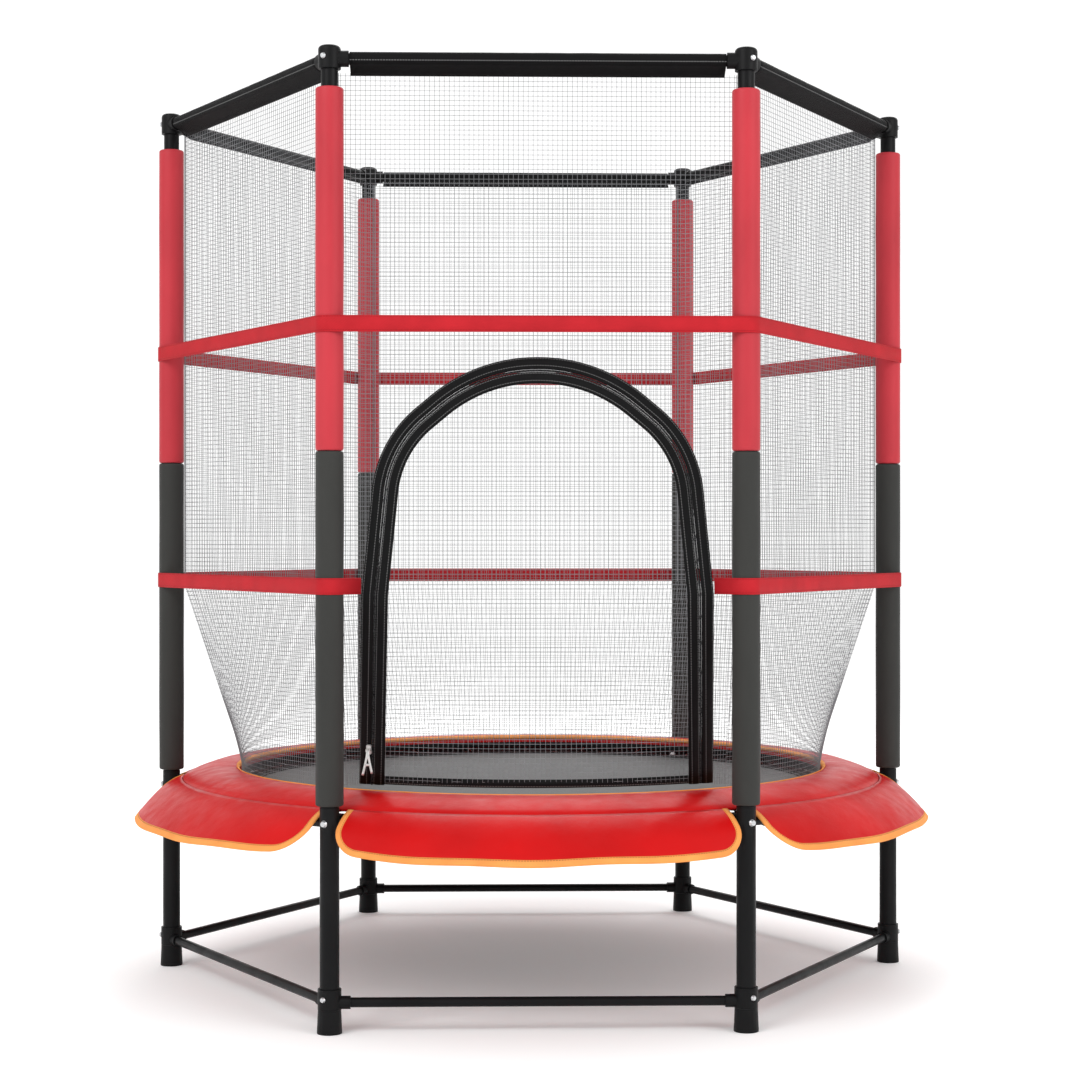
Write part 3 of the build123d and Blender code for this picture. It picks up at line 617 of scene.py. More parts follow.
def arch_strip(name, outer, inner, thickness, crown=0.35):
    """Strip of the arch between two insets, with a softly crowned face and back."""
    shares = (0.0, 0.04, 0.14, 0.3, 0.5, 0.7, 0.86, 0.96, 1.0)
    runs = [arch_run(outer + (inner - outer) * share) for share in shares]
    heights = [0.25 + 0.75 * (1 - abs(2 * s - 1) ** 6) ** 0.5 if 0 < s < 1 else 0.25 for s in shares]
    heights = [h * (1 - crown * abs(2 * s - 1) ** 2) for h, s in zip(heights, shares)]
    rows = []
    for k in range(len(runs[0])):
        front = [run[k][0] + run[k][1] * (thickness / 2 * h) for run, h in zip(runs, heights)]
        back = [run[k][0] - run[k][1] * (thickness / 2 * h) for run, h in zip(runs, heights)]
        rows.append(front + list(reversed(back)))
    return face_outwards(skin(name, rows))


# Sizes and colours that can be changed


def size_property(title, about, value):
    """Length in metres."""
    return bpy.props.FloatProperty(name=title, description=about, default=value, unit="LENGTH")


class TrampolineSizes(bpy.types.PropertyGroup):
    """Sizes of the soft parts"""

    sleeve_radius: size_property("Sleeve radius", "Outer radius of a foam sleeve", 0.023)
    sleeve_ripple: size_property("Sleeve ripple", "How uneven a foam sleeve is", 0.0004)
    net_pitch: size_property("Net pitch", "Distance between net yarns", 0.008)
    yarn_width: size_property("Yarn width", "Width of a net yarn", 0.00056)
    yarn_depth: size_property("Yarn depth", "Depth of a net yarn", 0.00045)
    net_bow: size_property("Net bow", "How far a net wall bows inwards", 0.006)
    band_width: size_property("Band width", "Width of the red webbing bands", 0.027)
    binding_width: size_property("Binding width", "Width of the binding tape on the flaps", 0.011)
    flap_wave: size_property("Flap wave", "How far a flap's lower edge waves", 0.003)
    flap_corner: size_property("Flap corner", "Round of a flap's lower corners", 0.052)
    pad_wrinkle: size_property("Pad wrinkle", "Depth of the wrinkles round the pad", 0.0016)


def colour_property(title, about, value):
    """Colour in scene-linear light, given as display values of 0 to 255."""
    linear = [((c / 255 + 0.055) / 1.055) ** 2.4 if c > 10 else c / 255 / 12.92 for c in value]
    return bpy.props.FloatVectorProperty(
        name=title, description=about, default=linear, size=3, min=0, max=1, subtype="COLOR"
    )


class TrampolineColours(bpy.types.PropertyGroup):
    """Colours of the parts"""

    tube: colour_property("Tubes", "Coated steel tubes", (16, 16, 17))
    plastic: colour_property("Plastic", "Caps, collars and foot caps", (12, 12, 13))
    steel: colour_property("Steel", "Bolts, nuts and wire rings", (205, 206, 208))
    white_metal: colour_property("White metal", "Zip slider and its pull", (236, 236, 234))
    black_foam: colour_property("Black foam", "Lower foam sleeves", (48, 48, 46))
    red_foam: colour_property("Red foam", "Upper foam sleeves", (176, 48, 57))
    cover: colour_property("Edge cover", "Coated cloth of the pad and its flaps", (188, 8, 10))
    binding: colour_property("Binding", "Tape round the flaps", (236, 152, 80))
    band: colour_property("Bands", "Webbing round the posts", (176, 32, 40))
    mat: colour_property("Mat", "Bounce mat", (58, 60, 60))
    mat_edge: colour_property("Mat edge", "Webbing sewn round the mat", (22, 22, 23))
    door: colour_property("Door border", "Cloth border of the door", (9, 9, 10))
    net: colour_property("Net", "Net yarn", (118, 119, 122))
    hem: colour_property("Hem", "Cloth sleeves of the net on the top rails", (11, 11, 12))
    elastic: colour_property("Elastic", "Elastic loops", (30, 30, 31))


# The pieces


class TRAMPOLINE_OT_frame_finish(bpy.types.Operator):
    """Gives the frame's own parts their coated, moulded and plated finishes"""

    bl_idname = "trampoline.frame_finish"
    bl_label = "Frame finish"

    def execute(self, context):
        _, colours = settings()
        finishes = {
            coated_tube("coated_tube", colours.tube): [
                *[f"leg_{name}" for name in POSTS],
                *[f"pole_{name}" for name in POSTS],
                *[f"crossbar_{name}" for name in SIDES],
                *[f"ring_rail_{name}" for name in SIDES],
                *[f"top_rail_{name}" for name in SIDES],
            ],
            moulded("moulded_black", colours.plastic): [
                "foot_caps", "lower_collars", "corner_caps", "ring_saddles",
            ],
            plated("plated_steel", colours.steel): [
                "ring_bolts", "ring_nuts", "small_bolts", "mat_rings", "ring_splices",
            ],
            plated("white_zip_metal", colours.white_metal, 0.35): ["zip_slider", "zip_pull"],
        }
        for material, nodes in finishes.items():
            for node in nodes:
                piece = frame["nodes"][node]
                piece.data.materials.clear()
                piece.data.materials.append(material)
        return {"FINISHED"}


class TRAMPOLINE_OT_foam_sleeves(bpy.types.Operator):
    """Black and red foam sleeves on the six posts"""

    bl_idname = "trampoline.foam_sleeves"
    bl_label = "Foam sleeves"

    def execute(self, context):
        sizes, colours = settings()
        pole_low, pole_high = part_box("pole_right")
        bore = (pole_high.y - pole_low.y) / 2 + 0.0003
        radius, soft, bevel, steps = sizes.sleeve_radius, 0.004, 0.0008, 26
        looks = {
            "lower": (foam_cover("black_foam", colours.black_foam, 0.62), "foam_black"),
            "upper": (foam_cover("red_foam", colours.red_foam, 0.5), "foam_red"),
        }
        for level, (material, slot) in looks.items():
            node = f"{level}_foam_sleeves"
            low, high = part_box(node)[0].z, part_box(node)[1].z
            outline = [(bore, low + bevel), (radius - soft, low)]
            outline += [
                (radius - soft + soft * sin(a), low + soft - soft * cos(a))
                for a in (pi / 8, pi / 4, 3 * pi / 8, pi / 2)
            ]
            for k in range(1, steps):
                outline.append((radius, low + soft + (high - low - 2 * soft) * k / steps))
            outline += [
                (radius - soft + soft * cos(a), high - soft + soft * sin(a))
                for a in (0, pi / 8, pi / 4, 3 * pi / 8, pi / 2)
            ]
            outline.append((bore, high - bevel))
            blank = turned(node, outline + [outline[0]], 36, joined=True)
            for k, (post, turn) in enumerate(POSTS.items()):
                sleeve = copied(blank, f"{level}_sleeve_{post}")
                centre = compass(radians(turn), post_circle, 0)

                def uneven(co, centre=centre, k=k):
                    flat = Vector((co.x, co.y, 0))
                    spot = Vector((co.x * 40, co.y * 40, co.z * 9 + 7 * k))
                    if flat.length > bore + 0.002:
                        flat = flat * (1 + noise.noise(spot) * sizes.sleeve_ripple / flat.length)
                    return flat + centre + Vector((0, 0, co.z))

                moved(sleeve, uneven)
                replaced = [node] if k == 0 else []
                finish_piece(sleeve, sleeve.name, "frame", material, replaced)
            discard(blank)
        return {"FINISHED"}


class TRAMPOLINE_OT_edge_pad(bpy.types.Operator):
    """Padded ring over the elastic, with the binding on its inner edge"""

    bl_idname = "trampoline.edge_pad"
    bl_label = "Edge pad"

    def execute(self, context):
        sizes, colours = settings()
        inner, outer = 0.5462, 0.6496
        base, top = pad_low.z, pad_high.z
        rim = top - 0.0012
        crown = [(0, -0.009), (0.0015, -0.004), (0.006, -0.0012), (0.014, 0), (0.028, 0.0004)]
        crown += [(0.044, -0.001), (0.060, -0.004), (0.076, -0.009), (0.090, -0.0145)]
        outline = [(inner + 0.003, base), (inner + 0.0006, base + 0.003), (inner, base + 0.008)]
        outline += [(inner + across, rim + rise) for across, rise in crown]
        outline += [(outer - 0.0015, rim - 0.0205), (outer, base + 0.0025), (outer - 0.003, base)]
        outline += [(outer - 0.03, base), (inner + 0.03, base)]
        pad = turned("edge_pad", outline + [outline[0]], 288, joined=True)

        def wrinkled(co):
            turn, radius = atan2(co.y, co.x), hypot(co.x, co.y)
            share = max(0.0, min(1.0, (co.z - base - 0.008) / (top - base - 0.008)))
            spot = Vector((9 * cos(turn), 9 * sin(turn), radius * 6))
            depth = noise.noise(spot) + 0.5 * noise.noise(spot * 2.3)
            pull = max(0.0, abs(sin(3 * turn)) ** 0.2 - 0.82)
            dip_at_posts = 0.004 * max(0, 0.18 - pull) ** 2
            return co - Vector((0, 0, share * (sizes.pad_wrinkle * abs(depth) + dip_at_posts)))

        moved(pad, wrinkled)
        cover = coated_cloth("edge_cover", colours.cover)
        finish_piece(pad, "edge_pad", "frame", cover, ["pad_cover", "pad_foam"])
        # Stitches in a thread darkened to 0.55 of the tape: the stitches are real, and their dark line is
        # also painted shade of the seam along the binding's edge
        thread = [c * 0.55 for c in colours.binding]
        tape = webbing("binding_tape", colours.binding, [0.0014], thread, rib=0.0012)
        profile = [(-0.0007, -0.0075), (-0.0009, -0.0055), (0.0004, -0.0030), (0.0050, 0.0002)]
        profile += [(0.0054, -0.0014), (0.0022, -0.0040), (0.0004, -0.0058), (0.0004, -0.0075)]
        turns = [2 * pi * k / 288 for k in range(288)]
        rows = [[compass(turn, inner + a, rim + b) for a, b in profile] for turn in turns]
        edge = face_outwards(skin("pad_inner_binding", rows, closed_run=True))
        finish_piece(edge, "pad_inner_binding", "frame", tape)
        return {"FINISHED"}


class TRAMPOLINE_OT_skirt_flaps(bpy.types.Operator):
    """Six coated cloth flaps hung from the pad, each bound with tape"""

    bl_idname = "trampoline.skirt_flaps"
    bl_label = "Skirt flaps"

    def execute(self, context):
        sizes, colours = settings()
        cover = coated_cloth("flap_cover", colours.cover)
        # The tape's darker stitch line along the binding's upper edge is partly painted seam shade
        tape = bpy.data.materials["binding_tape"]
        half_turn, lower_half_turn = radians(28.3), radians(27.7)
        fold_radius, edge_radius = 0.6508, flap_high.x - 0.0012
        fold_height, edge_height = flap_high.z - 0.0014, flap_low.z - 0.0105
        half_width, drop = 0.343, 0.117
        corner, straight, tape_lift, fold = sizes.flap_corner, 0.8, 0.0016, 0.001

        def flap_point(turn, p, q, phase):
            """Point of a flap at a run across it and a drop down it, in metres."""
            a, b = p / half_width, q / drop
            radius = fold_radius + (edge_radius - fold_radius) * (b * 0.92 + 0.08 * sin(b * pi / 2))
            height = fold_height + (edge_height - fold_height) * (0.45 * b + 0.55 * b * b)
            wave = sizes.flap_wave * b * b
            height += wave * (sin(5.2 * a + phase) * 0.5 + 0.35 * sin(11 * a + 2 * phase)) + 0.5 * wave
            radius -= wave * 0.5 * (1 + sin(7 * a + 1.7 * phase))
            radius -= 0.018 * b * abs(a) ** 5
            height += 0.009 * b * abs(a) ** 6
            return compass(turn + a * (half_turn + (lower_half_turn - half_turn) * b), radius, height)

        def normal_at(turn, p, q, phase):
            step = 0.001
            across = flap_point(turn, p + step, q, phase) - flap_point(turn, p - step, q, phase)
            down = flap_point(turn, p, q + step, phase) - flap_point(turn, p, q - step, phase)
            return down.cross(across).normalized()

        def lifted(turn, p, q, phase, lift):
            """Point off a flap's face, kept below the fold."""
            q = max(q, fold)
            return flap_point(turn, p, q, phase) + normal_at(turn, p, q, phase) * lift

        def boundary(inset):
            """Side, lower corners and lower edge of a flap, inset from its outline."""
            w, r = half_width, corner
            points = [(-w + inset, (drop - r) * k / 8) for k in range(8)]
            points += [
                (-w + r - (r - inset) * cos(t), drop - r + (r - inset) * sin(t))
                for t in [pi / 2 * k / 10 for k in range(11)]
            ]
            middle_run = [(-w + r + 2 * (w - r) * k / 40, drop - inset) for k in range(1, 40)]
            mirrored = [(-p, q) for p, q in reversed(points)]
            return points + middle_run + mirrored

        for k, (side, degrees_round) in enumerate(SIDES.items()):
            turn, phase = radians(degrees_round), 1.3 * k + 0.4
            columns, lines = 64, 12
            rows = []
            for i in range(columns + 1):
                a = -1 + 2 * i / columns
                eased = straight + 0.2 * sin((abs(a) - straight) / 0.2 * pi / 2)
                p = half_width * (a if abs(a) < straight else copysign(eased, a))
                edge = half_width - abs(p)
                lowest = drop if edge >= corner else drop - corner + (corner**2 - (corner - edge) ** 2) ** 0.5
                rows.append([flap_point(turn, p, lowest * j / lines, phase) for j in range(lines + 1)])
            flap = skin(f"flap_{side}", rows, closed_row=False)
            thickened(flap, 0.0020)
            face_outwards(flap)
            finish_piece(flap, f"flap_{side}", "frame", cover, ["skirt_flaps"] if k == 0 else [])
            rings = []
            insets = [sizes.binding_width, sizes.binding_width / 2, 0.0004]
            for (p, q), *inner in zip(boundary(-0.0008), *[boundary(d) for d in insets]):
                front = [lifted(turn, x, y, phase, tape_lift) for x, y in inner]
                back = [lifted(turn, x, y, phase, -tape_lift) for x, y in reversed(inner)]
                rings.append([*front, flap_point(turn, p, max(q, fold), phase), *back])
            binding = face_outwards(skin(f"flap_binding_{side}", rings))
            finish_piece(binding, f"flap_binding_{side}", "frame", tape)
        return {"FINISHED"}


class TRAMPOLINE_OT_bounce_mat(bpy.types.Operator):
    """Round woven mat with webbing sewn to its rim"""

    bl_idname = "trampoline.bounce_mat"
    bl_label = "Bounce mat"

    def execute(self, context):
        _, colours = settings()
        deselect()
        bpy.ops.mesh.primitive_circle_add(
            vertices=144, radius=mat_radius, fill_type="NGON", location=(0, 0, mat_low.z)
        )
        mat = bpy.context.object
        bpy.ops.object.mode_set(mode="EDIT")
        bpy.ops.mesh.select_all(action="SELECT")
        bpy.ops.mesh.extrude_region_move(TRANSFORM_OT_translate={"value": (0, 0, mat_high.z - mat_low.z)})
        for _ in range(3):
            bpy.ops.mesh.inset(thickness=0.09)
        bpy.ops.mesh.select_all(action="SELECT")
        bpy.ops.mesh.normals_make_consistent(inside=False)
        bpy.ops.object.mode_set(mode="OBJECT")
        bpy.ops.object.transform_apply(location=True)
        mat.select_set(False)
        weave = woven("mat_weave", colours.mat, 0.003)
        finish_piece(mat, "bounce_mat", "mat", weave, ["mat"], smooth=False)
        low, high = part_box("mat_edge")
        inside = 0.514
        edge = turned(
            "mat_webbing",
            [
                (inside, low.z),
                (inside + 0.0008, high.z),
                (inside + 0.012, high.z + 0.0003),
                (inside + 0.022, high.z - 0.0001),
                (inside + 0.032, high.z + 0.0003),
                (mat_radius - 0.0008, high.z),
                (mat_radius + 0.0002, low.z),
                (mat_radius + 0.0002, mat_low.z - 0.0004),
                (mat_radius - 0.0008, mat_low.z - 0.0012),
                (inside + 0.0008, mat_low.z - 0.0012),
                (inside, mat_low.z - 0.0002),
                (inside, low.z),
            ],
            144,
            joined=True,
        )
        lines = [inside + 0.004, inside + 0.022, mat_radius - 0.005]
        webbed = webbing("mat_edge_webbing", colours.mat_edge, lines, (0.35, 0.35, 0.35), polar=True)
        finish_piece(edge, "mat_webbing", "mat", webbed, ["mat_edge"])
        return {"FINISHED"}


class TRAMPOLINE_OT_elastic_loops(bpy.types.Operator):
    """Thirty elastic loops from the mat's wire rings round the ring tube"""

    bl_idname = "trampoline.elastic_loops"
    bl_label = "Elastic loops"

    def execute(self, context):
        _, colours = settings()
        elastic = webbing("elastic_band", colours.elastic, [0.0036], (0.6, 0.6, 0.6), rib=0.0012)
        thickness, width = 0.0022, 0.007
        wrap = ring_tube_radius + 0.0004 + thickness / 2
        eye = Vector((0.5706, 0, (mat_low.z + mat_high.z) / 2))
        ring = Vector((ring_circle, 0, ring_height))
        back = atan2(eye.z - ring.z, eye.x - ring.x)
        spread = acos(wrap / (eye - ring).length)
        start, end = back - spread, back + spread - 2 * pi
        path, normals = [], []
        for k in range(19):
            angle = start + (end - start) * k / 18
            normals.append(Vector((cos(angle), 0, sin(angle))))
            path.append(ring + normals[-1] * wrap)
        for k in range(7):
            angle = pi * 1.5 - pi * k / 6
            normals.append(Vector((cos(angle), 0, sin(angle))))
            path.append(eye + normals[-1] * 0.0026)
        blank = strap("elastic_loop", path, normals, width, thickness, True, upright=Vector((0, 1, 0)))
        for k, (loop, turn) in enumerate(ring_of_copies(blank, "elastic_loop", 30)):
            replaced = ["elastic_loops"] if k == 0 else []
            finish_piece(loop, loop.name, None, elastic, replaced)
            start, end = (compass(turn, radius, ring_height) for radius in (0.628, 0.574))
            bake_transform(loop)
        return {"FINISHED"}


def wall_point(turn, s, z, bow):
    """Point of an upright net wall, bowed inwards between its edges."""
    share = (z - net_bend) / (net_top - net_bend)
    dip = bow * sin(pi * min(1, max(0, share))) * cos(pi * s / (2 * net_half_side))
    return outward(turn) * (net_wall - dip) + along(turn) * s + Vector((0, 0, z))


def foot_turn(side, share):
    """Direction of the net's foot below a place across a side, from -1 to 1."""
    turn = radians(SIDES[side])
    low, high = turn - HALF_TURN, turn + HALF_TURN
    if side == "front_left":
        high = FRONT - door_side_turn
    if side == "front_right":
        low = FRONT + door_side_turn
    return low + (high - low) * (share + 1) / 2


def taper_point(side, share, down, bow):
    """Point of the net's tapered part, from the bend down to its foot."""
    turn = radians(SIDES[side])
    top = outward(turn) * net_wall + along(turn) * (share * net_half_side) + Vector((0, 0, net_bend))
    foot = compass(foot_turn(side, share), net_foot_radius, net_taper_end)
    point = top.lerp(foot, down)
    return point - outward(turn) * (bow * sin(pi * down) * cos(pi * share / 2))


def jitter(seed, amount):
    """Small unevenness that is the same every time for a seed."""
    return amount * noise.noise(Vector((seed * 1.37, seed * 0.71, 3.1)))


class TRAMPOLINE_OT_safety_net(bpy.types.Operator):
    """Yarn net of the upright walls, the tapered part and its foot hem"""

    bl_idname = "trampoline.safety_net"
    bl_label = "Safety net"

    def execute(self, context):
        sizes, colours = settings()
        pitch, width, depth = sizes.net_pitch, sizes.yarn_width, sizes.yarn_depth
        material = yarn("net_yarn", colours.net)
        overlap = 0.004
        top = net_top + overlap
        upper, lower = [], []
        per_side = round(2 * net_half_side / pitch)
        levels = round((net_top - net_bend) / pitch)
        drops = round((net_bend - net_taper_end) / pitch)
        for n, (side, degrees_round) in enumerate(SIDES.items()):
            turn = radians(degrees_round)
            out = outward(turn)
            front = side == "front"
            bow = 0.0 if front else sizes.net_bow
            for k in range(per_side):
                s = -net_half_side + (k + 0.5) * 2 * net_half_side / per_side + jitter(k + 100 * n, 0.0006)
                base = net_bend
                if front and abs(s) < arch_bend_half_width - 0.002:
                    base = arch_height(s, 0.004)
                heights = [base + (top - base) * j / 8 for j in range(9)]
                upper.append(([wall_point(turn, s, z, bow) for z in heights], out))
            for k in range(levels + 1):
                z = net_bend + k * (net_top - net_bend) / levels + jitter(k + 11 * n, 0.0005)
                spans = [(-net_half_side, net_half_side)]
                if front and z < arch_crown[1] - 0.004:
                    cut = max(arch_half_width(z, 0.004), 0.001)
                    spans = [(-net_half_side, -cut), (cut, net_half_side)]
                for start, end in spans:
                    steps = 1 if front else 6
                    places = [start + (end - start) * j / steps for j in range(steps + 1)]
                    upper.append(([wall_point(turn, s, z, bow) for s in places], out))
            for shift in (-0.0012, 0, 0.0012):
                edge = out * net_wall + along(turn) * (net_half_side + shift)
                upper.append(([edge + Vector((0, 0, z)) for z in (net_bend, (net_bend + top) / 2, top)], out))
            if front:
                inner, foot = arch_bend_half_width - 0.003, arch_foot_turn(0) - 0.004
                count = round((net_half_side - arch_bend_half_width) / pitch)

                def beside_door(hand, t, down):
                    """Point of the narrow part between the door and a post."""
                    a = Vector((hand * (inner + (net_half_side - inner) * t), -net_wall, net_bend))
                    turn = FRONT + hand * (foot + (door_side_turn - foot) * t)
                    return a.lerp(compass(turn, net_foot_radius, net_taper_end), down)

                for hand in (-1, 1):
                    for k in range(count + 1):
                        lower.append(([beside_door(hand, k / count, j / 4) for j in range(5)], out))
                    for k in range(drops):
                        a, b = (beside_door(hand, t, (k + 0.5) / drops) for t in (0, 1))
                        lower.append(([a, b] if hand > 0 else [b, a], out))
                continue
            for k in range(per_side):
                share = -1 + (k + 0.5) * 2 / per_side + jitter(k + 31 * n, 0.0015)
                line = [taper_point(side, share, j / 6, 0.004) for j in range(7)]
                end = compass(foot_turn(side, share), net_foot_radius, net_foot + 0.008)
                lower.append((line + [end], out))
            for k in range(1, drops + 1):
                down = k / drops + jitter(k + 17 * n, 0.0012)
                shares = [-1 + 2 * j / 10 for j in range(11)]
                lower.append(([taper_point(side, share, min(down, 1), 0.004) for share in shares], out))
        for z in (net_taper_end - 0.007, net_taper_end - 0.014):
            for start in range(0, 360, 60):
                turns = [radians(start + 60 * j / 12) for j in range(13)]
                lower.append(([compass(t, net_foot_radius, z) for t in turns], Vector((0, 0, 1))))
        for name, lines, replaced in (
            ("net_upper", upper, ["upper_net", "front_net"]),
            ("net_lower", lower, ["lower_net"]),
        ):
            net = yarn_lines(name, lines, width, depth)
            finish_piece(net, name, "frame", material, replaced, smooth=False)
        turns = [2 * pi * k / 180 for k in range(180)]
        hem = strap(
            "net_foot_hem",
            [compass(t, net_foot_radius, net_foot + foot_hem_width / 2) for t in turns],
            [outward(t) for t in turns],
            foot_hem_width,
            0.0016,
            True,
        )
        tape = webbing("net_hem_tape", colours.mat_edge, [0.0025, 0.008], (0.2, 0.2, 0.2))
        finish_piece(hem, "net_foot_hem", "frame", tape)
        return {"FINISHED"}


class TRAMPOLINE_OT_hem_sleeves(bpy.types.Operator):
    """Cloth sleeves of the net round the six top rails"""

    bl_idname = "trampoline.hem_sleeves"
    bl_label = "Hem sleeves"

    def execute(self, context):
        _, colours = settings()
        cloth = webbing("hem_cloth", colours.hem, [0.0105, 0.0625], (0.12, 0.12, 0.12), rib=0.001)
        radius = 0.0104
        tail = (net_wall - side_apothem, net_top + 0.0003 - rail_height)
        profile = [(tail[0] - 0.0007, tail[1]), (tail[0] * 0.78, tail[1] * 0.62)]
        profile += [(radius * cos(t), radius * sin(t)) for t in [radians(200 - 14 * k) for k in range(21)]]
        profile += [(tail[0] * 0.62, tail[1] * 0.80), (tail[0] + 0.0009, tail[1])]
        half_length = side_apothem * sin(HALF_TURN) / cos(HALF_TURN) - 0.033
        for n, (side, degrees_round) in enumerate(SIDES.items()):
            turn = radians(degrees_round)
            rows = []
            for k in range(49):
                s = -half_length + 2 * half_length * k / 48
                base = outward(turn) * side_apothem + along(turn) * s
                base.z = rail_height
                row = []
                for j, (x, y) in enumerate(profile):
                    puff = 0.0003 * noise.noise(Vector((s * 30, j * 0.35, n * 5.0)))
                    scale = 1 + puff / radius if 1 < j < 23 else 1
                    row.append(base + outward(turn) * (x * scale) + Vector((0, 0, y * scale)))
                rows.append(row)
            sleeve = skin(f"hem_sleeve_{side}", rows, closed_row=False)
            thickened(sleeve, 0.0008, 1.0)
            face_outwards(sleeve)
            replaced = ["net_hem"] if n == 0 else []
            finish_piece(sleeve, sleeve.name, "frame", cloth, replaced)
        return {"FINISHED"}


class TRAMPOLINE_OT_net_ties(bpy.types.Operator):
    """Flat ties from the net's foot to the ring tube, under the pad"""

    bl_idname = "trampoline.net_ties"
    bl_label = "Net ties"

    def execute(self, context):
        _, colours = settings()
        material = webbing("tie_webbing", colours.mat_edge, [0.002, 0.012], (0.3, 0.3, 0.3))
        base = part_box("net_ties")[0].z + 0.0005
        start, end = net_foot_radius + 0.0012, ring_circle
        shares = [k / 10 for k in range(11)]
        path = [Vector((start + (end - start) * t, 0, base + 0.0004 * sin(pi * t))) for t in shares]
        path[0].z = net_foot + 0.0012
        normals = [Vector((0, 0, 1))] * len(path)
        blank = strap("net_tie", path, normals, 0.014, 0.001, False, upright=Vector((0, 1, 0)))
        for k, (tie, _) in enumerate(ring_of_copies(blank, "net_tie", 12)):
            replaced = ["net_ties"] if k == 0 else []
            finish_piece(tie, tie.name, "frame", material, replaced)
        return {"FINISHED"}


class TRAMPOLINE_OT_webbing_bands(bpy.types.Operator):
    """Two red bands round the padded posts"""

    bl_idname = "trampoline.webbing_bands"
    bl_label = "Webbing bands"

    def execute(self, context):
        sizes, colours = settings()
        thickness = 0.0019
        reach = sizes.sleeve_radius + 0.0003 + thickness / 2
        edge = sizes.band_width
        thread = [c * 0.75 for c in colours.band]
        material = webbing("band_webbing", colours.band, [0.0036, edge - 0.0016], thread)

        def round_post(post, first, last, height, steps=12):
            centre = compass(radians(POSTS[post]), post_circle, height)
            turns = [radians(first + (last - first) * k / steps) for k in range(steps + 1)]
            return [centre + outward(t) * reach for t in turns], [outward(t) for t in turns]

        def between(path, normals):
            """Adds points to the long straight runs."""
            full, faces = [], []
            for k in range(len(path) - 1):
                full.append(path[k])
                faces.append(normals[k])
                gap = (path[k + 1] - path[k]).length
                count = int(gap / 0.08)
                for j in range(1, count):
                    full.append(path[k].lerp(path[k + 1], j / count))
                    faces.append(normals[k].lerp(normals[k + 1], j / count).normalized())
            return full + [path[-1]], faces + [normals[-1]]

        height = middle("upper_band").z
        path, normals = [], []
        for post, turn in POSTS.items():
            more, looks = round_post(post, turn - 30, turn + 30, height)
            path, normals = path + more, normals + looks
        path, normals = between(path + [path[0]], normals + [normals[0]])
        band = strap("band_upper", path[:-1], normals[:-1], sizes.band_width, thickness, True)
        finish_piece(band, "band_upper", "frame", material, ["upper_band"])

        height = middle("lower_band").z
        end = Vector((arch_bend_half_width + 0.0012, -net_wall - 0.0017, height))
        post = compass(radians(300), post_circle, height)
        back = degrees(atan2(end.y - post.y, end.x - post.x))
        tangent = back + degrees(acos(reach / (end - post).length))
        path, normals = round_post("front_right", tangent, 330, height)
        path, normals = [end] + path, [normals[0]] + normals
        for name in ("right", "rear_right", "rear_left", "left"):
            turn = POSTS[name]
            more, looks = round_post(name, turn - 30, turn + 30, height)
            path, normals = path + more, normals + looks
        more, looks = round_post("front_left", 210, 540 - tangent, height)
        path, normals = path + more + [Vector((-end.x, end.y, height))], normals + looks + [looks[-1]]
        path, normals = between(path, normals)
        band = strap("band_lower", path, normals, sizes.band_width, thickness, False)
        finish_piece(band, "band_lower", "frame", material, ["lower_band"])
        return {"FINISHED"}


